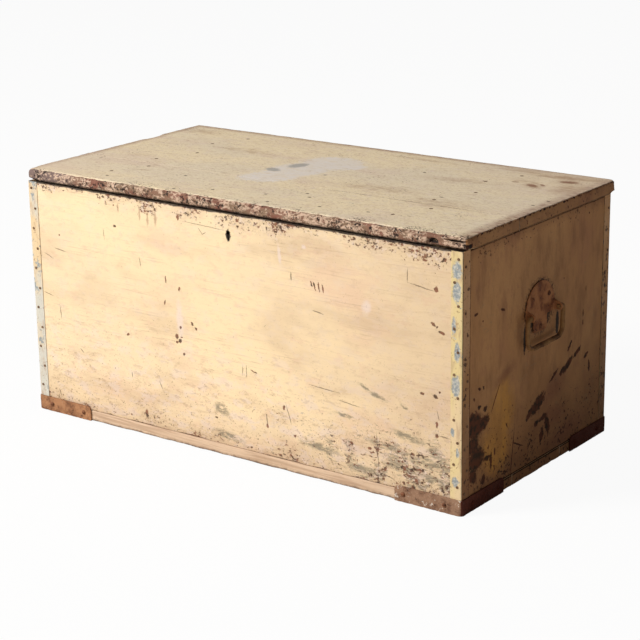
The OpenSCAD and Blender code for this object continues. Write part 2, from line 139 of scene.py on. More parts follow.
def round_edges(points, low, high, radius):
    """Rounds a box's edges, and returns the moved points and the outward direction at each."""
    radius = np.broadcast_to(radius, len(points)).reshape(-1, 1)
    core = np.clip(points, low + radius, high - radius)
    out = points - core
    out /= np.linalg.norm(out, axis=1, keepdims=True)
    return core + out * radius, out


def edge_distance(points, low, high):
    """How far each point on a box is from the nearest edge."""
    return np.sort(np.minimum(points - low, high - points), axis=1)[:, 1]


def dents(points, places):
    """Depth of the given dents, each (middle, half sizes, depth), deepest in its middle."""
    depth = np.zeros(len(points))
    for middle, size, deepest in places:
        reach = np.linalg.norm((points - middle) / size, axis=1)
        depth = np.maximum(depth, deepest * smooth_step(reach, 1.0, 0.35))
    return depth


def new_piece(name, points, faces, body, materials, indices=None, attributes=None, smooth=True):
    """A mesh piece in the row frame that rides on a CAD body. Points are in millimetres."""
    mesh = bpy.data.meshes.new(name)
    mesh.from_pydata((np.asarray(points) * MM).tolist(), [], [list(map(int, f)) for f in faces])
    for material in materials:
        mesh.materials.append(material)
    if indices is not None:
        mesh.polygons.foreach_set("material_index", np.asarray(indices, np.int32))
    for key, values in (attributes or {}).items():
        mesh.attributes.new(key, "FLOAT", "POINT").data.foreach_set("value", values.astype(np.float32))
    mesh.polygons.foreach_set("use_smooth", np.full(len(mesh.polygons), smooth))
    mesh.update()
    piece = bpy.data.objects.new(name, mesh)
    bpy.context.scene.collection.objects.link(piece)
    if body:
        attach(piece, body)
    return piece


def prism(outline, low, high, axis):
    """Points and faces of an outline of two coordinates pushed along an axis from low to high."""
    count = len(outline)
    points = []
    for level in (low, high):
        points += [list(p[:axis]) + [level] + list(p[axis:]) for p in outline]
    faces = [[i, (i + 1) % count, (i + 1) % count + count, i + count] for i in range(count)]
    faces += [list(range(count))[::-1], list(range(count, 2 * count))]
    return points, faces


def circle(middle, radius, count=24):
    turns = [2 * math.pi * i / count for i in range(count)]
    return [(middle[0] + radius * math.cos(t), middle[1] + radius * math.sin(t)) for t in turns]


def rectangle(low, high):
    return [(low[0], low[1]), (high[0], low[1]), (high[0], high[1]), (low[0], high[1])]


def cut_out(piece, shapes, material):
    """Cuts separate prisms, each (outline, low, high, axis), out of a piece. The cut gets the material."""
    points, faces = [], []
    for shape in shapes:
        more_points, more_faces = prism(*shape)
        faces += [[i + len(points) for i in face] for face in more_faces]
        points += more_points
    cutter = new_piece("cutter", points, faces, None, [MATERIALS[material]], smooth=False)
    make_normals_point_out(cutter.data)
    cut = piece.modifiers.new("cut", "BOOLEAN")
    cut.operation = "DIFFERENCE"
    cut.solver = "EXACT"
    cut.material_mode = "TRANSFER"
    cut.object = cutter
    bpy.context.view_layer.update()
    result = piece.evaluated_get(bpy.context.evaluated_depsgraph_get())
    mesh = bpy.data.meshes.new_from_object(result)
    mesh.set_sharp_from_angle(angle=math.radians(SMOOTH_TURN))
    piece.modifiers.clear()
    piece.data = mesh
    bpy.data.objects.remove(cutter)


def make_normals_point_out(mesh):
    """Turns every face of a closed mesh outwards."""
    work = bmesh.new()
    work.from_mesh(mesh)
    bmesh.ops.recalc_face_normals(work, faces=work.faces)
    work.to_mesh(mesh)
    work.free()


def fastener_places(node, axis, side, apart=9.0):
    """Middles of the fasteners in a CAD node, on the side that they are driven from."""
    points = np.array([v.co for v in frame["nodes"][node].data.vertices]) / MM
    outermost = (points[:, axis] * side).max()
    points = points[points[:, axis] * side > outermost - 0.1]
    places = []
    while len(points):
        near = np.linalg.norm(points - points[0], axis=1) < apart
        places.append(points[near].mean(0))
        points = points[~near]
    return places


# ---- Finishes ----

# A face with many marks has one material for each of its zones from left to right, and each holds the
# marks that reach it, because one material can hold only so many.
ZONE_MARGIN = 12
EVERYWHERE = (-math.inf, math.inf)


def linear(colour):
    """A colour given as it looks on a screen, from 0 to 255, in the linear values Blender uses."""
    shares = [value / 255 for value in colour]
    return (*[v / 12.92 if v <= 0.04045 else ((v + 0.055) / 1.055) ** 2.4 for v in shares], 1.0)


class Finish:
    """A procedural material being built. Most calls add nodes and return an output of the last."""

    def __init__(self, name, zone=EVERYWHERE):
        self.zone = zone
        self.material = bpy.data.materials.new(name)
        self.material.use_nodes = True
        self.tree = self.material.node_tree
        self.tree.nodes.clear()
        place = self.add("TexCoord").outputs["Object"]
        scaled = self.add("VectorMath", {"operation": "SCALE"}, {0: place, "Scale": 1 / MM})
        self.place = scaled.outputs[0]
        self.colour = None

    def add(self, kind, settings=None, inputs=None):
        node = self.tree.nodes.new("ShaderNode" + kind)
        for key, value in (settings or {}).items():
            setattr(node, key, value)
        for key, value in (inputs or {}).items():
            if isinstance(value, bpy.types.NodeSocket):
                self.tree.links.new(value, node.inputs[key])
            else:
                node.inputs[key].default_value = value
        return node

    def math(self, operation, first, second=0.0, third=0.0):
        inputs = {0: first, 1: second, 2: third}
        return self.add("Math", {"operation": operation}, inputs).outputs[0]

    def minus(self, first, second):
        return self.math("SUBTRACT", first, second)

    def axis(self, number):
        return self.add("SeparateXYZ", inputs={0: self.place}).outputs[number]

    def times(self, *values):
        return functools.reduce(functools.partial(self.math, "MULTIPLY"), values)

    def most(self, *values):
        return functools.reduce(functools.partial(self.math, "MAXIMUM"), values)

    def ramp(self, value, start, end, low=0.0, high=1.0):
        """Goes smoothly from low to high as value goes from start to end."""
        inputs = {"Value": value, "From Min": start, "From Max": end, "To Min": low, "To Max": high}
        return self.add("MapRange", {"interpolation_type": "SMOOTHSTEP"}, inputs).outputs[0]

    def mix(self, amount, first, second):
        first, second = [linear(c) if isinstance(c, tuple) else c for c in (first, second)]
        return self.add("Mix", {"data_type": "RGBA"}, {0: amount, 6: first, 7: second}).outputs[2]

    def cover(self, amount, colour, share=1.0):
        """Lays a colour over the colour so far."""
        if share < 1:
            amount = self.math("MULTIPLY", amount, share)
        self.colour = self.mix(amount, self.colour, colour)

    def noise_node(self, size, stretch, detail, roughness, seed, at):
        scale = [1 / (size * s) for s in stretch]
        moved = self.add("Mapping", inputs={
            "Vector": self.place if at is None else at,
            "Location": (seed * 17.3, seed * 9.1, seed * 5.7),
            "Scale": scale,
        })
        inputs = {"Vector": moved.outputs[0], "Scale": 1.0, "Detail": detail, "Roughness": roughness}
        return self.add("TexNoise", inputs=inputs)

    def noise(self, size, seed, stretch=(1, 1, 1), detail=3.0, roughness=0.55, at=None):
        """Noise from 0 to 1, with features about size times stretch long on each axis."""
        return self.noise_node(size, stretch, detail, roughness, seed, at).outputs[0]

    def face(self, across, down):
        """Sets the distances across and down a face, each from (axis, direction, start)."""
        self.across, self.down = [
            self.math("MULTIPLY", self.minus(self.axis(axis), start), direction)
            for axis, direction, start in (across, down)
        ]
        self.flat = self.add("CombineXYZ", inputs={0: self.across, 1: self.down}).outputs[0]

    def ragged(self, size, amount, seed=0):
        """Place on the face shaken by noise, which makes the outline of a mark ragged."""
        colour = self.noise_node(size, (1, 1, 1), 5.0, 0.7, seed, None).outputs[1]
        inputs = {0: colour, 1: (0.5, 0.5, 0.5)}
        centred = self.add("VectorMath", {"operation": "SUBTRACT"}, inputs)
        reach = (2 * amount, 2 * amount, 0)
        inputs = {0: centred.outputs[0], 1: reach, 2: self.flat}
        return self.add("VectorMath", {"operation": "MULTIPLY_ADD"}, inputs).outputs[0]

    def marks(self, at, places, soft=0.3):
        """1 inside ellipses on the face, each (across, down, length, width, degrees clockwise).
        Only those that reach this material's zone are drawn."""
        nearest = None
        for across, down, length, width, turn in places:
            margin = length / 2 + ZONE_MARGIN
            if not self.zone[0] - margin < across < self.zone[1] + margin:
                continue
            local = self.add("Mapping", {"vector_type": "TEXTURE"}, {
                "Vector": at,
                "Location": (across, down, 0),
                "Rotation": (0, 0, math.radians(turn)),
                "Scale": (length / 2, width / 2, 1),
            })
            reach = self.add("VectorMath", {"operation": "LENGTH"}, {0: local.outputs[0]})
            reach = reach.outputs["Value"]
            nearest = reach if nearest is None else self.math("MINIMUM", nearest, reach)
        if nearest is None:
            return 0.0
        crumbled = self.math("MULTIPLY_ADD", self.noise(5, 2, detail=5.0, roughness=0.75), 1.3, nearest)
        return self.ramp(crumbled, 1.6 + soft, 1.6 - soft)

    def chips(self, amount, size, seed, sharp=0.03, stretch=(1, 1, 1)):
        """Ragged specks about size across: hardly any where amount is 0, and most of the face at 1."""
        grain = self.noise(size, seed, stretch, 5.0, 0.66)
        level = self.math("MULTIPLY_ADD", amount, 0.35, grain)
        return self.ramp(level, 0.8 - sharp, 0.8 + sharp)

    def dots(self, spacing, radius, share, seed):
        """Round dots scattered over the surface, in a share of the cells of a Voronoi pattern."""
        moved = self.add("Mapping", inputs={"Vector": self.place, "Location": (seed * 31.7,) * 3})
        inputs = {"Vector": moved.outputs[0], "Scale": 1 / spacing, "Randomness": 1.0}
        cells = self.add("TexVoronoi", inputs=inputs)
        near = self.ramp(cells.outputs["Distance"], radius / spacing * 1.25, radius / spacing * 0.75)
        pick = self.add("SeparateColor", inputs={0: cells.outputs["Color"]}).outputs[0]
        return self.math("MULTIPLY", near, self.math("LESS_THAN", pick, share))

    def worn(self):
        """The mesh's own wear, from 0 on sound paint to 1 on bare wood, and up to 2 deep in a crack, where
        the lid paints shade.
        """
        return self.add("Attribute", {"attribute_name": "worn"}).outputs["Fac"]

    def on_end(self):
        """1 on iron that lies on the outside of an end, and 0 on iron that lies on the front or back."""
        return self.math("GREATER_THAN", self.math("ABSOLUTE", self.axis(0)), CASE_RIGHT + 0.4)

    def close(self, roughness, height, depth, metallic=0.0, shine=0.3):
        """Joins the colour so far, roughness and a height of so many millimetres to the surface."""
        bump = self.add("Bump", inputs={"Height": height, "Distance": depth * MM, "Strength": 1.0})
        surface = self.add("BsdfPrincipled", inputs={
            "Base Color": self.colour,
            "Roughness": roughness,
            "Metallic": metallic,
            "Specular IOR Level": shine,
            "Normal": bump.outputs[0],
        })
        output = self.add("OutputMaterial")
        self.tree.links.new(surface.outputs[0], output.inputs[0])
        return self.material


CREAM = (233, 208, 170)
CREAM_YELLOW = (238, 212, 171)
CREAM_PINK = (230, 196, 164)
PRIMER = (226, 206, 194)
GRIME = (175, 144, 116)
BARE_DARK = (62, 38, 27)
BARE_RED = (128, 78, 56)
GREY_GREEN = (128, 118, 98)
BLACK_DIRT = (30, 20, 16)


def along(axis, long):
    """Stretch of a pattern that runs along one axis."""
    return tuple(long if i == axis else 1 for i in range(3))


def paint_coat(f, first, second, third, grain_axis, seed):
    """Old brushed paint: clouds of three colours, with the grain showing. Returns the grain."""
    clouds = f.noise(150, seed, along(grain_axis, 1.8))
    f.colour = f.mix(f.ramp(clouds, 0.36, 0.6), first, second)
    blush = f.noise(90, seed + 1, along(grain_axis, 2.2), detail=4.0)
    f.cover(f.ramp(blush, 0.52, 0.72, 0, 0.75), third)
    mottle = f.noise(18, seed + 3, along(grain_axis, 1.8), detail=5.0, roughness=0.72)
    f.cover(f.ramp(mottle, 0.54, 0.64, 0, 0.5), third)
    f.cover(f.ramp(mottle, 0.45, 0.36, 0, 0.6), first)
    grain = f.noise(2.4, seed + 2, along(grain_axis, 30), detail=4.0, roughness=0.7)
    return grain


# Marks on the front: (across from the left, down from the top, length, width, degrees)
FRONT_CHIPS = [
    (349, 21, 10, 5, 100), (204, 56, 6, 5, 0), (224, 249, 7, 5, 120), (316, 135, 14, 4, 82),
    (346, 147, 8, 4, 90), (312, 176, 9, 4, 95), (346, 216, 7, 5, 60), (337, 232, 10, 7, 100),
    (343, 240, 9, 7, 130), (337, 243, 6, 5, 60), (347, 233, 5, 3, 0),
    (352, 262, 6, 5, 0), (504, 266, 14, 3, 12), (372, 205, 9, 5, 50), (380, 212, 7, 4, 40),
    (530, 357, 8, 5, 90), (588, 363, 6, 6, 0), (557, 404, 8, 5, 10), (861, 122, 9, 5, 30),
    (876, 134, 12, 5, 15), (868, 126, 5, 4, 0), (704, 351, 8, 5, 40), (260, 388, 15, 7, 80),
    (840, 239, 8, 5, -10), (866, 240, 9, 6, 20), (874, 231, 5, 4, 0), (868, 286, 10, 5, 90),
    (868, 304, 8, 6, 90), (740, 352, 7, 6, 0), (806, 398, 8, 5, 30), (420, 364, 6, 4, 0),
    (634, 97, 15, 3, 75), (642, 97, 16, 3, 80), (650, 99, 14, 3, 78), (628, 94, 10, 3, 70),
    (866, 66, 9, 7, 100), (880, 18, 14, 5, 150), (566, 317, 9, 5, 95), (495, 403, 6, 4, 0),
]
FRONT_SCRATCHES = [
    (177, 74, 20, 1.6, 84), (259, 112, 18, 2, 80), (586, 88, 14, 3, 85), (62, 235, 26, 1.8, 84),
    (110, 299, 12, 2, 40), (397, 38, 14, 1.5, 48), (405, 41, 10, 1.5, 150), (813, 52, 22, 2, 90),
    (838, 66, 46, 2, 8), (576, 328, 34, 2, 72), (530, 346, 24, 2, 84), (755, 356, 68, 1.4, 86),
    (488, 268, 22, 1.6, 88), (480, 268, 20, 1.4, 94), (882, 304, 20, 2, 4), (407, 28, 94, 1.2, 2),
    (870, 270, 16, 1.4, 75), (40, 132, 22, 1.5, 20), (34, 204, 26, 1.5, 12), (771, 392, 34, 2, 12),
    (229, 322, 12, 2, 88), (70, 118, 30, 2, 8), (640, 140, 22, 2, 10), (296, 330, 16, 2, 60),
    (49, 389, 12, 2.2, 70), (45, 398, 10, 2, 110), (648, 268, 60, 1.6, 3), (700, 284, 44, 1.6, 6),
]
FRONT_GREY = [
    (733, 252, 30, 6, 32), (755, 260, 40, 7, 14), (806, 268, 14, 6, 20), (432, 347, 30, 20, 20),
    (445, 392, 60, 14, 6), (860, 380, 46, 12, 4), (865, 355, 36, 8, 0), (790, 372, 50, 10, 0),
    (862, 335, 26, 20, 0), (690, 306, 40, 6, 4), (815, 318, 60, 12, 8), (850, 352, 60, 16, -4),
    (770, 342, 70, 10, 6), (720, 392, 60, 14, 0), (640, 372, 70, 12, 4),
]
FRONT_PALE = [(563, 55, 34, 6, 84), (613, 35, 9, 7, 0), (735, 116, 22, 17, 100), (345, 205, 70, 14, 88)]
# Black around the keyhole: grime, with painted shade of the hole
KEYHOLE_GRIME_AND_SHADE = (457, 37, 20, 11, 90)
FRONT_CLUMPS = [
    (40, 4, 60, 26, 0), (192, 6, 60, 30, 0), (280, 10, 60, 40, 0), (372, 8, 90, 36, 0),
    (470, 10, 130, 44, 0), (560, 8, 70, 36, 0), (740, 8, 130, 36, 0), (850, 12, 110, 48, 0),
]
FRONT_DRIPS = [(262, 27, 22, 4, 90), (280, 32, 26, 5, 90), (298, 30, 24, 5, 90), (213, 22, 16, 4, 90)]


def front_paint(name, zone=None):
    """Cream paint of the long panels: speckled under the lid, grimy and scuffed at the foot."""
    marked = zone is not None
    f = Finish(name, zone or EVERYWHERE)
    f.face((0, 1, CASE_LEFT), (2, -1, CASE_TOP))
    grain = paint_coat(f, CREAM_YELLOW, CREAM, CREAM_PINK, 0, 3 if marked else 23)
    streak = f.noise(60, 9, along(0, 4), detail=2.0)
    lines = f.times(f.ramp(grain, 0.53, 0.72), f.ramp(streak, 0.4, 0.65, 0.15, 0.5))
    f.cover(lines, GRIME)

    patchy = f.noise(55, 12, along(0, 2.5), detail=4.0)
    f.cover(f.ramp(patchy, 0.45, 0.7, 0, 0.25), GRIME)
    use = f.ramp(f.down, 160, 400, 0.3, 1.0)
    pale = f.times(f.chips(0.72, 20, 27, 0.06, along(0, 1.8)), use, 0.6)
    f.cover(pale, PRIMER)
    brown = f.times(f.chips(0.6, 8, 28, 0.05, along(0, 2.2)), use, 0.42)
    f.cover(brown, GRIME)
    low = f.ramp(f.math("MULTIPLY_ADD", patchy, 130, f.down), 370, 520)
    right = f.ramp(f.math("MULTIPLY_ADD", patchy, 300, f.across), 600, 1130)
    dirt = f.most(f.times(low, 0.54), f.times(right, 0.36))
    f.cover(dirt, GRIME)

    clumps = f.noise(34, 14, detail=2.0)
    top_band = f.times(f.ramp(f.down, 24, 2), f.ramp(clumps, 0.32, 0.62, 0.35, 0.62))
    corner = f.times(f.ramp(f.down, 220, 390), f.ramp(f.across, 250, 850), f.ramp(clumps, 0.36, 0.6, 0.3, 1))
    foot = f.times(f.ramp(f.down, 330, 410), 0.42)
    amount = f.most(top_band, f.times(corner, 0.7), foot)
    if marked:
        amount = f.most(amount, f.times(f.marks(f.ragged(26, 16, 39), FRONT_CLUMPS, 0.8), 0.66))
    amount = f.math("ADD", amount, f.ramp(patchy, 0.42, 0.75, 0.05, 0.34))

    f.cover(f.ramp(amount, 0.4, 1.0), GRIME, 0.45)
    faded = f.chips(amount, 9, 31, 0.06)
    f.cover(faded, PRIMER, 0.5)
    rubbed = f.chips(corner, 3.4, 37, 0.05, along(0, 4))
    f.cover(rubbed, GREY_GREEN, 0.6)
    chips = f.chips(amount, 4.2, 33, 0.04, along(0, 1.5))
    chips = f.most(chips, f.times(f.chips(0.42, 3, 29), use, 0.9))
    chip_colour = f.mix(f.ramp(f.noise(12, 35), 0.4, 0.62), BARE_RED, BARE_DARK)
    if marked:
        shaken = f.ragged(8, 3.5, 41)
        fine = f.ragged(14, 1.8, 43)
        scuffs = f.times(f.marks(shaken, FRONT_GREY, 0.5), f.chips(0.95, 5, 45, 0.1, along(0, 3)))
        f.cover(scuffs, GREY_GREEN, 0.85)
        f.cover(f.marks(shaken, FRONT_PALE, 0.5), PRIMER, 0.7)
        f.cover(f.marks(fine, FRONT_SCRATCHES), BARE_DARK, 0.62)
        f.cover(f.marks(shaken, FRONT_DRIPS, 0.5), BARE_RED, 0.45)
        # Grime and painted shade around the keyhole
        f.cover(f.marks(shaken, [KEYHOLE_GRIME_AND_SHADE], 0.2), BLACK_DIRT, 0.96)
        chips = f.most(chips, f.marks(f.ragged(8, 3.6, 47), FRONT_CHIPS, 0.2))
    chips = f.most(chips, f.dots(46, 1.8, 0.3, 5))
    f.cover(chips, chip_colour, 0.9)

    strip = f.ramp(f.down, 400, 416)
    f.cover(strip, GRIME, 0.3)
    edge = f.ramp(f.math("MULTIPLY_ADD", f.noise(5, 51, detail=4.0), 0.9, f.worn()), 0.95, 1.1)
    f.cover(edge, chip_colour)
    # Painted shadow: a black band along the top of the front, under the lid's edge
    lid_shadow = f.ramp(f.math("MULTIPLY_ADD", f.noise(9, 53, (3, 1, 1)), 5, f.down), 5.5, 3.5)
    f.cover(lid_shadow, BLACK_DIRT, 0.9)
    missing = f.most(chips, edge)
    height = f.minus(f.times(grain, 0.5), missing)
    roughness = f.ramp(missing, 0, 1, 0.62, 0.88)
    return f.close(roughness, height, 0.35)


# Marks on the right end: (from the front edge, down from the top, length, width, degrees)
END_BARE = [
    (36, 290, 58, 46, 20), (62, 294, 44, 24, -20), (34, 322, 34, 34, 0), (44, 348, 50, 40, -15),
    (34, 374, 26, 22, 70), (88, 364, 30, 9, 88), (76, 356, 20, 9, 0), (66, 388, 18, 12, 100),
    (235, 311, 54, 24, -28), (210, 320, 30, 13, -40), (268, 356, 36, 15, 75), (250, 370, 28, 13, 100),
    (232, 344, 18, 12, -20), (254, 340, 30, 10, -15), (334, 270, 44, 13, -32), (318, 276, 24, 12, -20),
    (366, 256, 30, 9, -30), (340, 238, 24, 6, -55), (398, 270, 20, 8, -25), (410, 292, 24, 6, 84),
    (70, 270, 12, 8, -30), (52, 262, 9, 7, 0), (36, 246, 7, 5, 0), (52, 232, 8, 5, 0), (64, 234, 9, 4, 60),
    (288, 276, 36, 5, -30), (5, 50, 14, 70, 0), (12, 20, 20, 26, 0), (8, 200, 10, 40, 0),
    (10, 400, 16, 40, 0),
]
# Scratches and lines; the two long lines at 22 and 450 from the front are painted shadows along the edges of
# the corner angles' end legs
END_SCRATCHES_AND_SHADOW_LINES = [
    (100, 262, 52, 2.4, -58), (155, 372, 86, 2.4, 98), (172, 362, 40, 3, 24), (384, 191, 16, 3, 90),
    (384, 208, 10, 3, 90), (100, 352, 14, 4, 90), (22, 215, 440, 2.6, 90), (450, 215, 440, 3.0, 90),
    (136, 318, 12, 3, 60), (40, 108, 12, 5, -10), (120, 120, 14, 5, 20), (392, 150, 10, 2, 90),
]
END_OCHRE = [(122, 256, 50, 36, -60), (118, 296, 90, 78, -70), (100, 346, 80, 92, -60)]
END_BROWN = [
    (285, 300, 80, 40, -20), (290, 345, 70, 34, 10), (330, 390, 120, 40, -10), (130, 230, 60, 18, -20),
]
HANDLE_MIDDLE = (PLATE_LOW[1] + PLATE_HIGH[1]) / 2 - CASE_FRONT
FOOT_DOWN = CASE_TOP - box_mm("bottom_board_front")[1][2]
HANDLE_DOWN = CASE_TOP - (PLATE_LOW[2] + PLATE_HIGH[2]) / 2
PLATE_WIDE, PLATE_TALL = (PLATE_HIGH - PLATE_LOW)[1:]
# Black dirt and painted shade around the handle's plate, and painted shadows of the bail beside and above it
HANDLE_SHADOWS_AND_DIRT = [
    (HANDLE_MIDDLE, HANDLE_DOWN, PLATE_TALL + 6, PLATE_WIDE + 5, 90),
    (HANDLE_MIDDLE - 46, HANDLE_DOWN + 46, 54, 8, 90),
    (HANDLE_MIDDLE + 14, HANDLE_DOWN + 69, 84, 10, 0),
    (HANDLE_MIDDLE + 60, HANDLE_DOWN + 44, 44, 11, 90),
]

# The right end's colours: a browner, darker copy of the cream paint, which stands in for the shade that end
# lies in. The board ends of the lid and bottom and the angles' end legs take them too.
SHADED_END_TAN = (186, 134, 86)
SHADED_END_BUFF = (198, 146, 96)
SHADED_END_PALE = (210, 164, 122)
SHADED_END_BLUSH = (178, 124, 86)
OCHRE = (214, 152, 62)
END_DIRT = (110, 68, 42)
END_BARE_RED = (84, 42, 26)
END_GREY = (150, 128, 96)
SHADED_END_COLOURS = (SHADED_END_TAN, SHADED_END_BUFF, SHADED_END_BLUSH)


def end_paint(name, seed, colours, zone=None):
    """Dirtier paint of the ends, with the brush and the grain running up and down."""
    marked = zone is not None
    f = Finish(name, zone or EVERYWHERE)
    f.face((1, 1, CASE_FRONT), (2, -1, CASE_TOP))
    grain = paint_coat(f, *colours, 2, seed)
    brush = f.noise(28, 66, along(2, 3), detail=5.0, roughness=0.68)
    f.cover(f.ramp(brush, 0.45, 0.7, 0, 0.38), END_DIRT)
    f.cover(f.ramp(grain, 0.55, 0.75, 0, 0.15), END_DIRT)

    patchy = f.noise(48, 68, detail=4.0)
    low = f.ramp(f.math("MULTIPLY_ADD", patchy, 220, f.down), 230, 520)
    halo = f.marks(f.ragged(20, 8, 70), [(HANDLE_MIDDLE, HANDLE_DOWN, 190, 150, 90)], 0.8)
    lip = f.times(f.ramp(f.down, 22, 2), 0.3)
    dirt = f.most(f.times(low, 0.6), f.times(halo, 0.3), lip)
    f.cover(dirt, END_DIRT)
    # Painted shade and shadows: black around the handle's plate and beside and above its bail, with some
    # dirt
    f.cover(f.marks(f.ragged(7, 1.5, 71), HANDLE_SHADOWS_AND_DIRT, 0.15), BLACK_DIRT, 0.92)
    scour = f.chips(f.ramp(patchy, 0.4, 0.7, 0.25, 0.6), 5, 73, 0.08, (1, 3, 1))
    f.cover(scour, END_GREY, 0.4)

    amount = f.most(f.ramp(f.down, 150, 420, 0.12, 0.58), f.ramp(f.down, 60, 5, 0, 0.5))
    amount = f.math("ADD", amount, f.ramp(patchy, 0.5, 0.75, 0, 0.22))
    chips = f.most(f.chips(amount, 6, 72), f.dots(60, 2.0, 0.35, 7))
    bare = f.mix(f.ramp(f.noise(10, 74), 0.4, 0.62), END_BARE_RED, BLACK_DIRT)
    if marked:
        shaken = f.ragged(11, 7.0, 76)
        ochre = f.times(f.marks(shaken, END_OCHRE, 0.5), f.ramp(brush, 0.3, 0.65, 0.7, 0.35))
        f.cover(ochre, OCHRE)
        f.cover(f.marks(shaken, END_BROWN, 0.7), BARE_RED, 0.55)
        bare_wood_marks = f.marks(f.ragged(9, 6.5, 78), END_BARE, 0.2)
        # The end's marks include painted shadow lines beside the corner angles' end legs
        chips = f.most(chips, bare_wood_marks, f.marks(f.ragged(12, 2.0, 80), END_SCRATCHES_AND_SHADOW_LINES))
    f.cover(chips, bare, 0.92)

    edge = f.ramp(f.math("MULTIPLY_ADD", f.noise(6, 82, detail=4.0), 0.9, f.worn()), 1.2, 1.34)
    f.cover(edge, bare)
    # Painted shade: black bands without sheen along the joint under the lid and the joint at the bottom
    # board
    foot_gap = f.math("ABSOLUTE", f.minus(f.down, FOOT_DOWN))
    joint_shade = f.most(f.ramp(f.math("ABSOLUTE", f.down), 5, 1.5), f.ramp(foot_gap, 4, 1.5))
    f.cover(joint_shade, BLACK_DIRT, 0.88)
    missing = f.most(chips, edge)
    height = f.minus(f.times(grain, 0.3), missing)
    shine = f.ramp(joint_shade, 0, 1, 0.3, 0.0)
    return f.close(f.ramp(missing, 0, 1, 0.66, 0.9), height, 0.45, shine=shine)


# Marks on the lid: (from the case's left, from the lid's front, length, width, degrees)
LID_DOTS = [
    (616, 352), (280, 108), (388, 50), (485, 71), (329, 19), (541, 112), (613, 48), (482, 242),
    (904, 278), (897, 240), (163, 34), (135, 475), (560, 92), (700, 60), (742, 210), (520, 30),
]
LID_LABEL = [
    (392, 172, 80, 66, 50), (425, 180, 90, 60, 60), (418, 250, 150, 104, 75),
    (438, 325, 110, 120, 75), (484, 320, 50, 50, 0),
]
LID_OVAL = [(396, 279, 44, 28, 75), (378, 229, 22, 34, 75)]
LID_STAINS = [
    (850, 445, 110, 26, 10), (805, 385, 60, 22, -20), (45, 430, 90, 30, 0), (95, 195, 40, 14, 20),
    (770, 170, 120, 46, 0), (620, 210, 120, 40, 5), (700, 330, 130, 30, 8), (240, 330, 120, 26, 0),
    (560, 440, 120, 18, 0), (180, 100, 60, 10, 30),
]
LID_SPOTS = [(865, 416, 34, 17, 10), (824, 362, 28, 13, -30), (838, 374, 16, 7, -40), (786, 372, 14, 6, 0)]
LID_BROWN = [
    (866, 416, 44, 34, 10), (842, 446, 130, 26, 6), (888, 372, 44, 80, 0), (828, 360, 34, 24, -20),
    (760, 452, 90, 18, 0),
]
LID_SEAM_DIRT = [(700, LID_SEAM - LID_LOW[1], 470, 2.6, 0)]
LID_BEIGE = (229, 213, 185)
LID_SAND = (237, 218, 183)
LID_ROSE = (222, 200, 178)
LABEL = (224, 215, 208)
LABEL_GREY = (160, 156, 150)
STAIN = (158, 120, 90)
RAW_RED = (130, 86, 70)
RAW_PALE = (210, 180, 156)
RAW_GREY = (118, 98, 92)
RAW_OLIVE = (134, 108, 86)


def raw_edge(f):
    """Handled, paintless wood of the lid's edges: red-brown and grey, with painted shade that darkens the
    lower part, and with pale crumbs and black pits."""
    zone = f.noise(34, 90, along(0, 2), detail=5.0, roughness=0.65)
    colour = f.mix(f.ramp(zone, 0.42, 0.6), RAW_OLIVE, RAW_RED)
    colour = f.mix(f.ramp(f.across, 130, 80), colour, RAW_GREY)
    # Painted shade: the lower part of the edge, set by height, is darkened nearly to black, and the pale
    # crumbs are kept off it
    z = f.axis(2)
    wavy = f.math("MULTIPLY_ADD", f.noise(11, 91, (2, 1, 1), detail=4.0), 7, z)
    low = f.ramp(wavy, LID_LOW[2] + 10, LID_LOW[2] + 4)
    colour = f.mix(f.times(low, 0.95), colour, BLACK_DIRT)
    crumbs = f.chips(f.ramp(f.noise(24, 92), 0.35, 0.6, 0.5, 0.95), 3.6, 94, 0.06, (1.6, 1, 1))
    crumbs = f.times(crumbs, f.minus(1.0, f.times(low, 0.9)))
    colour = f.mix(f.times(crumbs, 0.85), colour, RAW_PALE)
    pits = f.chips(f.ramp(f.noise(18, 96), 0.35, 0.6, 0.3, 0.78), 3.8, 98)
    colour = f.mix(f.times(pits, 0.92), colour, BLACK_DIRT)
    return colour, f.minus(crumbs, pits)


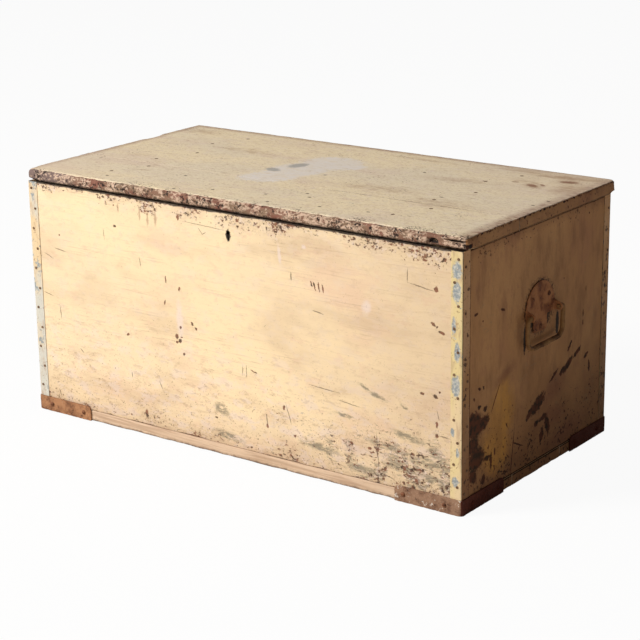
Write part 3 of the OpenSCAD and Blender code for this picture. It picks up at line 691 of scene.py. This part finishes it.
def lid_paint(name, zone):
    """Greyed paint of the lid, with a torn label's trace, stains and edges worn to the wood."""
    f = Finish(name, zone)
    f.face((0, 1, CASE_LEFT), (1, 1, LID_LOW[1]))
    grain = paint_coat(f, LID_BEIGE, LID_SAND, LID_ROSE, 0, 83)
    strokes = f.noise(5, 84, (4, 1, 1), detail=5.0, roughness=0.7)
    f.cover(f.ramp(strokes, 0.5, 0.7, 0, 0.32), STAIN)
    f.cover(f.ramp(grain, 0.56, 0.74, 0, 0.25), GRIME)
    pale = f.noise(7, 86, (2, 1.4, 1), detail=5.0, roughness=0.7)
    f.cover(f.ramp(pale, 0.52, 0.68, 0, 0.5), PRIMER)
    f.cover(f.chips(0.62, 3, 81, 0.08, (1.5, 1, 1)), STAIN, 0.4)
    rim = f.most(f.ramp(f.across, 24, 2), f.ramp(f.down, 452, 476), f.ramp(f.across, 892, 914))
    f.cover(f.times(rim, f.ramp(strokes, 0.35, 0.6, 0.9, 0.3)), RAW_RED)
    rose = f.ramp(f.math("ADD", f.across, f.down), 260, 40)
    far = f.ramp(f.math("ADD", f.across, f.down), 1000, 1400)
    f.cover(f.most(rose, far), LID_ROSE, 0.4)

    shaken = f.ragged(24, 14, 88)
    stains = f.times(f.marks(shaken, LID_STAINS, 0.8), f.ramp(strokes, 0.35, 0.6, 0.1, 0.9))
    f.cover(stains, STAIN, 0.45)
    brown = f.times(f.marks(shaken, LID_BROWN, 0.8), f.ramp(strokes, 0.35, 0.6, 0.45, 1.0))
    f.cover(brown, STAIN, 0.6)
    f.cover(f.marks(f.ragged(12, 5, 98), LID_SPOTS, 0.3), BARE_RED, 0.7)
    label = f.marks(f.ragged(22, 15, 87), LID_LABEL, 0.12)
    f.cover(f.times(label, f.ramp(strokes, 0.35, 0.7, 0.95, 0.35)), LABEL)
    seam = f.marks(f.ragged(10, 1.0, 85), LID_SEAM_DIRT, 0.4)
    f.cover(f.times(seam, f.ramp(f.noise(40, 99), 0.35, 0.6, 0.3, 0.75)), BARE_DARK)
    f.cover(f.marks(f.ragged(9, 4, 89), LID_OVAL, 0.3), LABEL_GREY, 0.8)

    fine = f.ragged(5, 1.5, 91)
    near_edge = f.ramp(f.down, 40, 4)
    amount = f.math("ADD", f.times(near_edge, 0.3), f.ramp(f.noise(60, 93), 0.4, 0.7, 0.15, 0.5))
    chips = f.most(f.chips(amount, 4.5, 95), f.marks(fine, [(x, y, 7, 5, 0) for x, y in LID_DOTS]))
    f.cover(chips, BARE_DARK, 0.88)

    raw, raw_height = raw_edge(f)
    shaken_wear = f.math("MULTIPLY_ADD", f.noise(9, 97, (2, 1, 1), detail=4.0), 0.8, f.worn())
    edge = f.ramp(shaken_wear, 0.86, 1.0)
    f.cover(edge, raw)
    # Painted shade: nearly black deep in the broken corner's cracks
    f.cover(f.ramp(f.worn(), 1.2, 1.7, 0, 0.97), BLACK_DIRT)
    height = f.minus(f.times(grain, 0.6), chips)
    height = f.math("ADD", height, f.times(edge, raw_height))
    height = f.minus(height, f.times(edge, 0.6))
    return f.close(f.ramp(edge, 0, 1, 0.6, 0.82), height, 0.4)


def bare_wood(name, pale, brown, grain_axis, seed):
    """Unpainted aged softwood with grain and dust, dark where it stands on the floor."""
    f = Finish(name)
    bend = f.noise_node(120, along(grain_axis, 3), 2.0, 0.5, seed, None).outputs[1]
    inputs = {0: bend, 1: (30, 30, 30), 2: f.place}
    moved = f.add("VectorMath", {"operation": "MULTIPLY_ADD"}, inputs)
    rings = f.noise(5, seed + 1, along(grain_axis, 40), at=moved.outputs[0])
    f.colour = f.mix(f.ramp(rings, 0.38, 0.7), pale, brown)
    fibre = f.noise(1.3, seed + 2, along(grain_axis, 40))
    f.cover(f.ramp(fibre, 0.52, 0.75, 0, 0.3), BARE_RED)
    dust = f.noise(90, seed + 3, detail=4.0)
    f.cover(f.ramp(dust, 0.5, 0.75, 0, 0.5), GRIME)
    pits = f.chips(f.ramp(dust, 0.45, 0.7, 0.1, 0.4), 5, seed + 4)
    z = f.axis(2)
    wet = f.ramp(f.math("MULTIPLY_ADD", f.noise(12, seed + 5), 9, z), 11, 5)
    f.cover(f.most(pits, wet), BARE_DARK, 0.75)
    height = f.minus(f.times(f.math("ADD", rings, fibre), 0.5), pits)
    return f.close(f.ramp(dust, 0.3, 0.7, 0.7, 0.9), height, 0.4)


ANGLE_YELLOW = (218, 196, 142)
ANGLE_CREAM = (220, 194, 154)
ANGLE_GREY = (146, 152, 154)
ANGLE_PALE = (200, 196, 184)
RUST = (122, 74, 46)
RUST_DARK = (66, 36, 24)
RUST_PALE = (186, 142, 104)
PALE_SCRATCH = (226, 214, 200)
IRON_DARK = (84, 30, 14)
BRACKET_TOP = box_mm("corner_bracket_front_right")[1][2]
# Patches of bare steel on the front-right corner angle, in the front's distances
ANGLE_PATCHES = [
    (904, 30, 30, 17, 90), (904, 64, 34, 16, 90), (899, 118, 28, 8, 90), (905, 160, 32, 11, 90),
    (903, 215, 36, 16, 90), (898, 292, 14, 7, 90), (907, 325, 16, 6, 90), (903, 374, 18, 11, 90),
]


def painted_sheet(name, paint, second, bare_amount, patches, seed):
    """Thin painted steel with blue-grey patches where the paint has flaked, and a little rust. On the ends
    it has the darker brown copy of the end paint, which stands in for shade, with dark chips."""
    f = Finish(name)
    f.face((0, 1, CASE_LEFT), (2, -1, CASE_TOP))
    cloud = f.noise(50, seed, along(2, 2))
    f.colour = f.mix(f.ramp(cloud, 0.4, 0.6), paint, second)
    dirt = f.noise(9, seed + 6, along(2, 3), detail=4.0)
    f.cover(f.ramp(dirt, 0.48, 0.7, 0, 0.6), GRIME)
    bare = f.chips(f.ramp(f.noise(34, seed + 1), 0.36, 0.66, 0.1, bare_amount), 12, seed + 2, 0.04)
    if patches:
        bare = f.most(bare, f.marks(f.ragged(10, 3, seed + 7), patches, 0.2))
    steel = f.mix(f.ramp(f.noise(4, seed + 3), 0.4, 0.7), ANGLE_GREY, ANGLE_PALE)
    f.cover(bare, steel)
    # Painted shade: on the ends the sheet takes the darker brown copy of the paint
    end = f.on_end()
    brown = f.mix(f.ramp(cloud, 0.4, 0.6), SHADED_END_PALE, SHADED_END_BUFF)
    brown = f.mix(f.ramp(f.down, 40, 420, 0.0, 0.7), brown, END_DIRT)
    dark = f.chips(f.ramp(f.noise(30, seed + 8), 0.35, 0.65, 0.25, 0.7), 8, seed + 9)
    brown = f.mix(f.times(dark, 0.9), brown, BARE_DARK)
    f.cover(end, brown)
    y = f.axis(1)
    bend = f.times(end, f.ramp(f.math("ABSOLUTE", y), CASE_BACK - 1.6, CASE_BACK))
    f.cover(bend, BLACK_DIRT, 0.9)
    rust = f.chips(0.45, 4, seed + 4)
    f.cover(rust, RUST, 0.75)
    grit = f.noise(1.5, seed + 5)
    height = f.minus(f.times(grit, 0.3), f.most(bare, rust))
    shine = f.times(bare, f.minus(1.0, end), 0.3)
    return f.close(f.ramp(bare, 0, 1, 0.6, 0.45), height, 0.2, shine)


def rusty_iron(name, dark, middle, pale, scratch, seed):
    """Wrought iron, brown with rust, with pale scratches where scratch is above 0. Low on the ends,
    where dirt has gathered, it is nearly black."""
    f = Finish(name)
    patch = f.noise(22, seed, detail=4.0)
    f.colour = f.mix(f.ramp(patch, 0.36, 0.6), dark, middle)
    scale = f.noise(2.2, seed + 1, detail=5.0, roughness=0.68)
    f.cover(f.ramp(scale, 0.5, 0.76, 0, 0.8), pale)
    pits = f.chips(f.ramp(patch, 0.35, 0.65, 0.6, 0.3), 3.2, seed + 2)
    f.cover(pits, BLACK_DIRT, 0.8)
    rubbed = f.chips(f.ramp(f.noise(26, seed + 3), 0.4, 0.65, 0.1, scratch), 3.4, seed + 4)
    f.cover(rubbed, PALE_SCRATCH, 0.85)
    z = f.axis(2)
    grimy = f.times(f.on_end(), f.ramp(z, BRACKET_TOP + 30, BRACKET_TOP + 10))
    f.cover(f.times(grimy, f.ramp(scale, 0.4, 0.75, 0.98, 0.88)), IRON_DARK)
    height = f.minus(scale, f.times(pits, 1.2))
    return f.close(f.ramp(scale, 0.35, 0.7, 0.6, 0.88), height, 0.3, f.ramp(patch, 0.4, 0.6, 0.15, 0.0))


def small_metal(name, colour, tarnish, metallic, roughness, seed):
    """Machined or stamped metal of the lock, hinges and nails, tarnished in spots."""
    f = Finish(name)
    cloud = f.noise(6, seed, detail=4.0)
    f.colour = f.mix(f.ramp(cloud, 0.4, 0.65), colour, tarnish)
    scratch = f.noise(1.0, seed + 1, (8, 1, 1), detail=3.0)
    spots = f.chips(0.5, 2.5, seed + 2)
    f.cover(spots, RUST_DARK, 0.8)
    height = f.minus(f.times(scratch, 0.4), spots)
    return f.close(f.ramp(cloud, 0.3, 0.7, roughness, roughness + 0.25), height, 0.08, metallic)


TAUPE_IRON = ((112, 78, 58), (146, 112, 88), (182, 150, 126))
TAN_IRON = ((122, 80, 54), (166, 118, 82), (180, 136, 98))
PLATE_IRON = ((124, 72, 44), (172, 114, 72), (184, 130, 84))
HANDLE_IRON = ((96, 62, 36), (146, 106, 62), (170, 124, 78))


def in_zones(make, name, width, count, *more):
    """One material for each of the zones across a face."""
    edges = np.linspace(0, width, count + 1)
    return [make(f"{name}_{i + 1}", *more, zone) for i, zone in enumerate(zip(edges[:-1], edges[1:]))]


ZONES = {
    "front": in_zones(front_paint, "front_paint", CASE_WIDTH, 5),
    # The right end takes the darker brown copy of the paint, as painted shade
    "right_end": in_zones(end_paint, "right_end_paint", CASE_DEPTH, 4, 64, SHADED_END_COLOURS),
    "lid": in_zones(lid_paint, "lid_paint", CASE_WIDTH, 3),
    "back": [front_paint("back_paint")],
    "left_end": [end_paint("left_end_paint", 67, (CREAM, CREAM_YELLOW, CREAM_PINK))],
}
MATERIALS = {
    "bottom": bare_wood("bottom_wood", (212, 184, 156), (182, 152, 126), 0, 110),
    "inside": bare_wood("inside_wood", (204, 174, 136), (182, 148, 112), 0, 120),
    "inside_end": bare_wood("inside_end_wood", (204, 174, 136), (182, 148, 112), 2, 130),
    "batten": bare_wood("batten_wood", (200, 170, 132), (176, 142, 106), 1, 140),
    # The board ends of the lid and the bottom take the darker brown copy of the end paint, as painted shade
    "end_trim": end_paint("end_trim_paint", 69, SHADED_END_COLOURS),
    # Nearly black inside the keyhole and the nail hollows: grime, with painted shade of the hollows
    "hole": small_metal("hole_grime_and_shade", (26, 18, 14), (14, 10, 8), 0.0, 0.7, 205),
    "angle_spotted": painted_sheet("angle_spotted", ANGLE_YELLOW, ANGLE_CREAM, 0.5, ANGLE_PATCHES, 150),
    "angle_yellow": painted_sheet("angle_yellow", ANGLE_YELLOW, ANGLE_CREAM, 0.9, [], 155),
    "angle_pale": painted_sheet("angle_pale", ANGLE_PALE, ANGLE_CREAM, 0.9, [], 160),
    "bracket": rusty_iron("bracket_iron", *TAUPE_IRON, 0.7, 170),
    "bracket_tan": rusty_iron("bracket_iron_tan", *TAN_IRON, 0.35, 175),
    "handle": rusty_iron("handle_iron", *HANDLE_IRON, 0.2, 180),
    "handle_plate": rusty_iron("handle_plate_iron", *PLATE_IRON, 0.3, 185),
    "screw": rusty_iron("screw_iron", RUST_DARK, RUST, RUST_PALE, 0.2, 190),
    "nail": small_metal("nail_steel", (128, 98, 72), (100, 72, 52), 0.15, 0.5, 200),
    "hinge": small_metal("hinge_steel", (124, 118, 108), (96, 78, 62), 0.8, 0.35, 210),
    "lock": small_metal("lock_steel", (132, 128, 120), (98, 84, 70), 0.8, 0.35, 220),
    "brass": small_metal("lock_brass", (188, 150, 82), (128, 98, 58), 0.9, 0.3, 230),
}


# ---- Wooden boards ----

# Sides of a box: the axis counted from 1, with its sign
LEFT, RIGHT, FRONT, BACK, DOWN, UP = -1, 1, -2, 2, -3, 3
FRONT_RIM = 9.0          # how far the outer skin reaches in from a front side


def zone_of(points, quads, face_axis, count):
    """Which of a face's zones each quad is in."""
    start, width = (CASE_LEFT, CASE_WIDTH) if face_axis == 0 else (CASE_FRONT, CASE_DEPTH)
    along_face = points[quads, face_axis].mean(1) - start
    return np.clip((along_face / width * count).astype(int), 0, count - 1)


def board(name, node, body, skins, outside, step, radius, wear, carve=None, edge=(4.0, 1.0)):
    """A worn board in place of a CAD board. Quads that face a side in outside, or lie next to an outer
    front side, get the first skin, and the others the second. With a third skin, the board's two ends
    get that."""
    low, high = box_mm(node)
    points, quads, facing = box_surface([grid_line(low[a], high[a], step, *edge) for a in range(3)])
    worn = np.exp(-edge_distance(points, low, high) / 3.5)
    rounding = radius(points) if callable(radius) else radius
    points, out = round_edges(points, low, high, rounding)
    seed = sum(ord(letter) for letter in name)
    nicks = rough_noise(points, 26, seed)
    depth = wear * worn * np.maximum(0, nicks + 0.1)
    depth += 0.25 * (1 + lattice_noise(points, 70, seed + 5)) / 2
    worn = np.clip(worn * (0.55 + 0.6 * np.maximum(0, nicks)), 0, 1)
    if carve:
        depth, worn = carve(points, out, depth, worn)
    points = points - out * depth[:, None]
    outer = ZONES.get(skins[0]) or [MATERIALS[skins[0]]]
    zones = zone_of(points, quads, 1 if skins[0].endswith("_end") else 0, len(outer))
    near_front = (points[quads, 1].mean(1) < low[1] + FRONT_RIM) & (FRONT in outside)
    indices = np.where(np.isin(facing, outside) | near_front, zones, len(outer))
    if len(skins) == 3:
        indices = np.where(np.isin(facing, (LEFT, RIGHT)), len(outer) + 1, indices)
    materials = outer + [MATERIALS[skin] for skin in skins[1:]]
    piece = new_piece(name, points, quads, body, materials, indices, {"worn": worn})
    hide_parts(node)
    return piece


front_piece, back_piece = [
    board(side + "_board", side + "_panel", "case", (side, "inside"), (facing,),
          step, radius=1.6, wear=1.2)
    for side, facing, step in (("front", FRONT, 4), ("back", BACK, 6))
]
for side, facing, step in (("right", RIGHT, 4), ("left", LEFT, 6)):
    skins = (side + "_end", "inside_end")
    board(side + "_end_board", side + "_end", "case", skins, (facing,),
          step, radius=0.8, wear=0.6)
BOTTOM_SIDES = (LEFT, RIGHT, FRONT, BACK, DOWN)
for place in ("front", "middle", "back"):
    skins = ("bottom", "inside", "end_trim")
    board("bottom_plank_" + place, "bottom_board_" + place, "case", skins, BOTTOM_SIDES,
          step=7, radius=2.0, wear=1.6)
for side in ("left", "right"):
    skins = ("batten", "batten")
    board("lid_bar_" + side, "lid_batten_" + side, "lid", skins, (UP,),
          step=6, radius=2.0, wear=1.5)


def lid_radius(points):
    """Rounding of the lid's edges: wide along the front edge, and hardly any at the seam."""
    from_front = points[:, 1] - LID_LOW[1]
    wide = 2.5 + 6.3 * smooth_step(from_front, 40, 12)
    return np.where(np.abs(points[:, 1] - LID_SEAM) < 20, 0.5, wide)


def lid_wear(points, out, depth, worn):
    """The lid's wear: a rounded, chipped front edge, and a right corner that is split and broken."""
    from_left = points[:, 0] - LID_LOW[0]
    from_right = LID_HIGH[0] - points[:, 0]
    from_front = points[:, 1] - LID_LOW[1]
    from_back = LID_BACK_HIGH[1] - points[:, 1]
    down = LID_TOP - points[:, 2]
    at_seam = np.abs(points[:, 1] - LID_SEAM) < 6
    crumbs = np.maximum(0, rough_noise(points * (0.6, 1, 1), 9, 301))
    ragged = rough_noise(points * (0.5, 1, 1), 34, 305)
    gouges = np.maximum(0, ragged)

    band = smooth_step(from_front, 12 + 7 * ragged, 2)
    chipped = band * (0.3 + 1.6 * crumbs + 2.2 * gouges)
    side = np.minimum(from_left, from_right)
    side_band = smooth_step(side, 5 + 3 * ragged, 0) * smooth_step(down, 9, 3)
    chipped = np.maximum(chipped, side_band * (0.3 + 1.6 * crumbs))

    left, front, bottom = LID_LOW
    right, back, top = LID_HIGH[0], LID_BACK_HIGH[1], LID_TOP
    broken = dents(points, [
        ((right - 62, front, bottom + 6), (13, 14, 12), 9),
        ((right - 20, front, top - 6.5), (27, 16, 2.6), 9),
        ((right - 46, front, bottom), (30, 14, 5), 3.5),
        ((right - 12, front, bottom + 1), (16, 10, 5), 4),
        ((left, front, bottom), (34, 12, 6), 4.5),
        ((left + 78, front, bottom + 9), (4, 8, 4), 4),
        ((left, back - 142, top - 6), (10, 34, 16), 7),
        ((right, back, bottom), (14, 22, 6), 4),
        ((right, back, top), (9, 9, 30), 3),
    ])
    filled = at_seam * np.abs(out[:, 1]) * 0.4 * smooth_step(from_left, 540, 420)
    bare = np.maximum(band * 0.75, side_band * 0.8)
    bare = np.maximum(bare, smooth_step(broken, 0.6, 2))
    nose = np.maximum(smooth_step(-out[:, 1], 0.5, 0.9), smooth_step(down, 9, 12))
    bare = np.maximum(bare, nose * (from_front < 20))
    bare = np.maximum(bare, smooth_step(from_back, 5, 1) * 0.75)
    worn = np.where(at_seam, np.minimum(worn, 0.25), worn)
    depth = np.where(at_seam, 0.1, depth)
    # Deep in the broken corner the value goes above 1, where the lid's paint lays painted shade
    crack_shade = smooth_step(broken, 3, 6)
    return depth + chipped + broken - filled, np.clip(np.maximum(worn, bare), 0, 1) + crack_shade


LID_SIDES = (LEFT, RIGHT, FRONT, BACK, UP)
lid_pieces = [
    board("lid_plank_" + place, "lid_" + place + "_board", "lid", ("lid", "inside", "end_trim"),
          LID_SIDES, step, lid_radius, wear=1.0, carve=lid_wear, edge=edge)
    for place, step, edge in (("front", 3.2, (14, 1.2)), ("back", 4.0, (10, 1.6)))
]


# ---- Holes in the boards ----

def keyhole_shapes():
    """Prisms of the keyhole: a round hole with a slot below it. Its place is the record's keyhole mount."""
    mount = next(m for m in frame["record"]["mounts"] if m["name"] == "keyhole")
    middle_x, _, middle_z = [value / MM for value in mount["pos_m"]]
    radius = mount["dims"]["r_mm"]
    through = (CASE_FRONT - 2, FRONT_HIGH[1] + 2)
    half = KEY_SLOT_WIDE / 2
    slot = rectangle((middle_x - half, middle_z - KEY_SLOT_DEEP), (middle_x + half, middle_z))
    return (circle((middle_x, middle_z), radius), *through, 1), (slot, *through, 1)


def hinge_shapes(leaf):
    """Prisms cut away for the two hinges: the leaves, let into the wood, and room for the knuckles."""
    leaves, knuckles = [], []
    for side in ("left", "right"):
        low, high = box_mm(f"hinge_{leaf}_leaf_{side}")
        pin_low, pin_high = box_mm("hinge_pin_" + side)
        axis = (pin_low + pin_high)[1:] / 2
        if leaf == "case":
            sheet = (CASE_TOP - LEAF, CASE_TOP + 1)
        else:
            sheet = (LID_LOW[2] - 1, LID_LOW[2] + LEAF)
        outline = rectangle((low[1] - PLAY, sheet[0]), (axis[0], sheet[1]))
        leaves.append((outline, low[0] - PLAY, high[0] + PLAY, 0))
        knuckles.append((circle(axis, KNUCKLE_ROOM), pin_low[0] - 2, pin_high[0] + 2, 0))
    return leaves, knuckles


def nail_shapes(node, axis, side, depth=1.0, radius=3.4):
    """Shallow round hollows above driven nails."""
    shapes = []
    for place in fastener_places(node, axis, side):
        outline = circle([c for i, c in enumerate(place) if i != axis], radius, 16)
        shapes.append((outline, place[axis] - depth, place[axis] + depth, axis))
    return shapes


round_hole, slot_hole = keyhole_shapes()
cut_out(front_piece, [round_hole], "hole")
cut_out(front_piece, [slot_hole], "hole")
case_leaves, case_knuckles = hinge_shapes("case")
cut_out(back_piece, case_knuckles, "inside")
cut_out(back_piece, case_leaves, "inside")
lid_leaves, lid_knuckles = hinge_shapes("lid")
strike_low, strike_high = box_mm("lock_strike")
strike_outline = rectangle(strike_low[:2] - PLAY, strike_high[:2] + PLAY)
lid_nails = nail_shapes("lid_nails", 2, UP)
cut_out(lid_pieces[0], [(strike_outline, LID_LOW[2] - 3, LID_LOW[2] + LEAF, 2)], "inside")
cut_out(lid_pieces[0], [shape for shape in lid_nails if shape[0][0][1] < LID_SEAM], "hole")
cut_out(lid_pieces[1], [shape for shape in lid_nails if shape[0][0][1] > LID_SEAM], "hole")
cut_out(lid_pieces[1], lid_knuckles, "inside")
cut_out(lid_pieces[1], lid_leaves, "inside")


# ---- Corner angles ----

def angle_outline():
    """Section of a corner angle, with the wood's corner at the origin and the legs along -X and -Y."""
    low, high = box_mm("corner_angle_front_right")
    leg = high[0] - low[0] - 1
    thick = high[0] - CASE_RIGHT
    bend = 2.2
    steps = np.linspace(-leg, thick - bend, 6)
    outer = [(thick, y) for y in steps]
    turns = np.radians([18, 36, 54, 72])
    outer += [(thick - bend + bend * math.cos(t), thick - bend + bend * math.sin(t)) for t in turns]
    outer += [(x, thick) for x in steps[::-1]]
    inner = [(x, 0.0) for x in np.linspace(-leg, -0.5, 5)] + [(0.0, y) for y in np.linspace(-0.5, -leg, 5)]
    return outer + inner


def corner_angle(side, end, place, material):
    """A slightly battered corner angle with a rounded bend."""
    node = "corner_angle_" + place
    low, high = box_mm(node)
    outline = angle_outline()
    levels = grid_line(low[2], high[2], 6, 2, 1)
    corner = np.array([CASE_RIGHT * side, CASE_BACK * end])
    points = [(corner[0] + side * x, corner[1] + end * y, z) for z in levels for x, y in outline]
    count = len(outline)
    faces = []
    for row, column in itertools.product(range(len(levels) - 1), range(count)):
        after = (column + 1) % count
        first = row * count
        faces.append([first + column, first + after, first + after + count, first + column + count])
    faces += [list(range(count))[::-1], list(range((len(levels) - 1) * count, len(levels) * count))]
    points = np.array(points)
    push = 0.28 * (1 + rough_noise(points, 28, 400 + len(place)))
    inward = np.stack([-side * np.ones(len(points)), -end * np.ones(len(points)), np.zeros(len(points))], 1)
    points = points + inward * push[:, None] * 0.5
    piece = new_piece("angle_sheet_" + place, points, faces, "case", [material])
    make_normals_point_out(piece.data)
    piece.data.set_sharp_from_angle(angle=math.radians(50))
    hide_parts(node)


# Each corner's direction in X and Y, and its angle's paint
CORNERS = {
    "front_left": (-1, -1, "angle_pale"),
    "front_right": (1, -1, "angle_spotted"),
    "back_left": (-1, 1, "angle_yellow"),
    "back_right": (1, 1, "angle_yellow"),
}
for place, (side, end, sheet) in CORNERS.items():
    corner_angle(side, end, place, MATERIALS[sheet])


# ---- CAD nodes that stay: finishes, softened edges and hammered surfaces ----

def finish_node(node, material):
    """Gives a CAD node its material."""
    for slot in frame["nodes"][node].material_slots:
        slot.link = "OBJECT"
        slot.material = MATERIALS[material]


def weld(node):
    """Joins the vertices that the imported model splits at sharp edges."""
    frame["nodes"][node].modifiers.new("weld", "WELD").merge_threshold = 0.01 * MM


def soften(node, width):
    """Rounds a CAD node's sharp edges."""
    weld(node)
    bevel = frame["nodes"][node].modifiers.new("bevel", "BEVEL")
    bevel.width = width * MM
    bevel.segments = 2
    bevel.limit_method = "ANGLE"
    bevel.angle_limit = math.radians(35)


def hammer(node, cell, size, depth):
    """Gives a CAD node the uneven, pitted surface of old forged or stamped iron."""
    weld(node)
    piece = frame["nodes"][node]
    remesh = piece.modifiers.new("remesh", "REMESH")
    remesh.mode = "VOXEL"
    remesh.voxel_size = cell * MM
    remesh.use_smooth_shade = True
    smooth = piece.modifiers.new("smooth", "SMOOTH")
    smooth.iterations = 2
    texture = bpy.data.textures.new(node + "_pits", "CLOUDS")
    texture.noise_scale = size * MM
    texture.noise_depth = 3
    displace = piece.modifiers.new("pits", "DISPLACE")
    displace.texture = texture
    displace.texture_coords = "GLOBAL"
    displace.strength = depth * MM
    displace.mid_level = 0.8


FINISHES = {
    "nail": ["angle_nails", "panel_nails", "bottom_nails", "lid_nails"],
    "screw": ["bracket_screws", "handle_screws_right", "handle_screws_left"],
    "lock": ["lock_plate", "lock_case", "lock_screws", "lock_strike", "strike_screws"],
    "brass": ["lock_bolt", "lock_key_pin"],
    "hinge": [
        "hinge_case_leaf_left", "hinge_case_leaf_right", "hinge_lid_leaf_left", "hinge_lid_leaf_right",
        "hinge_pin_left", "hinge_pin_right", "hinge_case_screws", "hinge_lid_screws",
    ],
}
for material, nodes in FINISHES.items():
    for node in nodes:
        finish_node(node, material)
        soften(node, width=0.25)
for place in CORNERS:
    finish_node("corner_bracket_" + place, "bracket_tan" if place == "front_left" else "bracket")
    hammer("corner_bracket_" + place, cell=1.0, size=9, depth=0.9)
for side in ("left", "right"):
    finish_node("handle_plate_" + side, "handle_plate")
    hammer("handle_plate_" + side, cell=0.8, size=7, depth=0.7)
    finish_node("handle_bail_" + side, "handle")
    hammer("handle_bail_" + side, cell=0.8, size=6, depth=0.7)


# ---- Floor, light and camera ----

FLOOR_SIZE_M = 60
CAMERA_PLACE_M = Vector((1.903, -2.547, 1.154))
CAMERA_TURN = (36.59, 16.92, -0.90)      # azimuth, elevation and roll in degrees
CAMERA_LENS = 104.96                     # on a 36 mm sensor
KEY_PLACE_M = Vector((-3.2, -4.2, 4.2))
KEY_SIZE_M = 2.4
KEY_POWER = 535
SKY_STRENGTH = 0.16
FLOOR_WHITE = 0.94                       # share of the camera's view of the floor that is plain white


def seen_white(tree, shader, share):
    """Lets the camera see a nearly white stage, while the object is lit by what the shader gives off."""
    white = tree.nodes.new("ShaderNodeEmission")
    white.inputs["Strength"].default_value = 1.0
    path = tree.nodes.new("ShaderNodeLightPath")
    amount = tree.nodes.new("ShaderNodeMath")
    amount.operation = "MULTIPLY"
    amount.inputs[1].default_value = share
    tree.links.new(path.outputs["Is Camera Ray"], amount.inputs[0])
    mix = tree.nodes.new("ShaderNodeMixShader")
    tree.links.new(amount.outputs[0], mix.inputs[0])
    tree.links.new(shader.outputs[0], mix.inputs[1])
    tree.links.new(white.outputs[0], mix.inputs[2])
    return mix


def make_floor():
    half = FLOOR_SIZE_M / MM / 2
    corners = [(-half, -half, 0), (half, -half, 0), (half, half, 0), (-half, half, 0)]
    material = bpy.data.materials.new("floor")
    material.use_nodes = True
    tree = material.node_tree
    surface = tree.nodes["Principled BSDF"]
    surface.inputs["Base Color"].default_value = linear((228, 226, 222))
    surface.inputs["Roughness"].default_value = 0.9
    output = tree.nodes["Material Output"]
    tree.links.new(seen_white(tree, surface, FLOOR_WHITE).outputs[0], output.inputs[0])
    floor = new_piece("floor", corners, [(0, 1, 2, 3)], None, [material], smooth=False)


def make_light():
    """A large soft light from the front left, and a weak even sky."""
    lamp = bpy.data.lights.new("key", "AREA")
    lamp.shape = "DISK"
    lamp.size = KEY_SIZE_M
    lamp.energy = KEY_POWER
    lamp.color = (1.0, 0.985, 0.96)
    key = bpy.data.objects.new("key", lamp)
    key.location = KEY_PLACE_M
    key.rotation_euler = (Vector((0, 0, 0.22)) - KEY_PLACE_M).to_track_quat("-Z", "Y").to_euler()
    bpy.context.scene.collection.objects.link(key)
    world = bpy.data.worlds.new("sky")
    world.use_nodes = True
    tree = world.node_tree
    sky = tree.nodes["Background"]
    sky.inputs["Color"].default_value = (1.0, 0.97, 0.93, 1.0)
    sky.inputs["Strength"].default_value = SKY_STRENGTH
    tree.links.new(seen_white(tree, sky, 1.0).outputs[0], tree.nodes["World Output"].inputs[0])
    bpy.context.scene.world = world


def make_camera():
    """The camera, at the photograph's viewing angle."""
    azimuth, elevation, roll = [math.radians(turn) for turn in CAMERA_TURN]
    level = Vector((math.cos(azimuth), math.sin(azimuth), 0))
    back = Vector((
        math.sin(azimuth) * math.cos(elevation),
        -math.cos(azimuth) * math.cos(elevation),
        math.sin(elevation),
    ))
    upright = back.cross(level)
    right = math.cos(roll) * level + math.sin(roll) * upright
    up = -math.sin(roll) * level + math.cos(roll) * upright
    camera = bpy.data.objects.new("camera", bpy.data.cameras.new("camera"))
    camera.data.lens = CAMERA_LENS
    turned = Matrix((right, up, back)).transposed().to_4x4()
    camera.matrix_world = Matrix.Translation(CAMERA_PLACE_M) @ turned
    bpy.context.scene.collection.objects.link(camera)
    bpy.context.scene.camera = camera


make_floor()
make_light()
make_camera()
bpy.context.scene.view_settings.view_transform = "Standard"
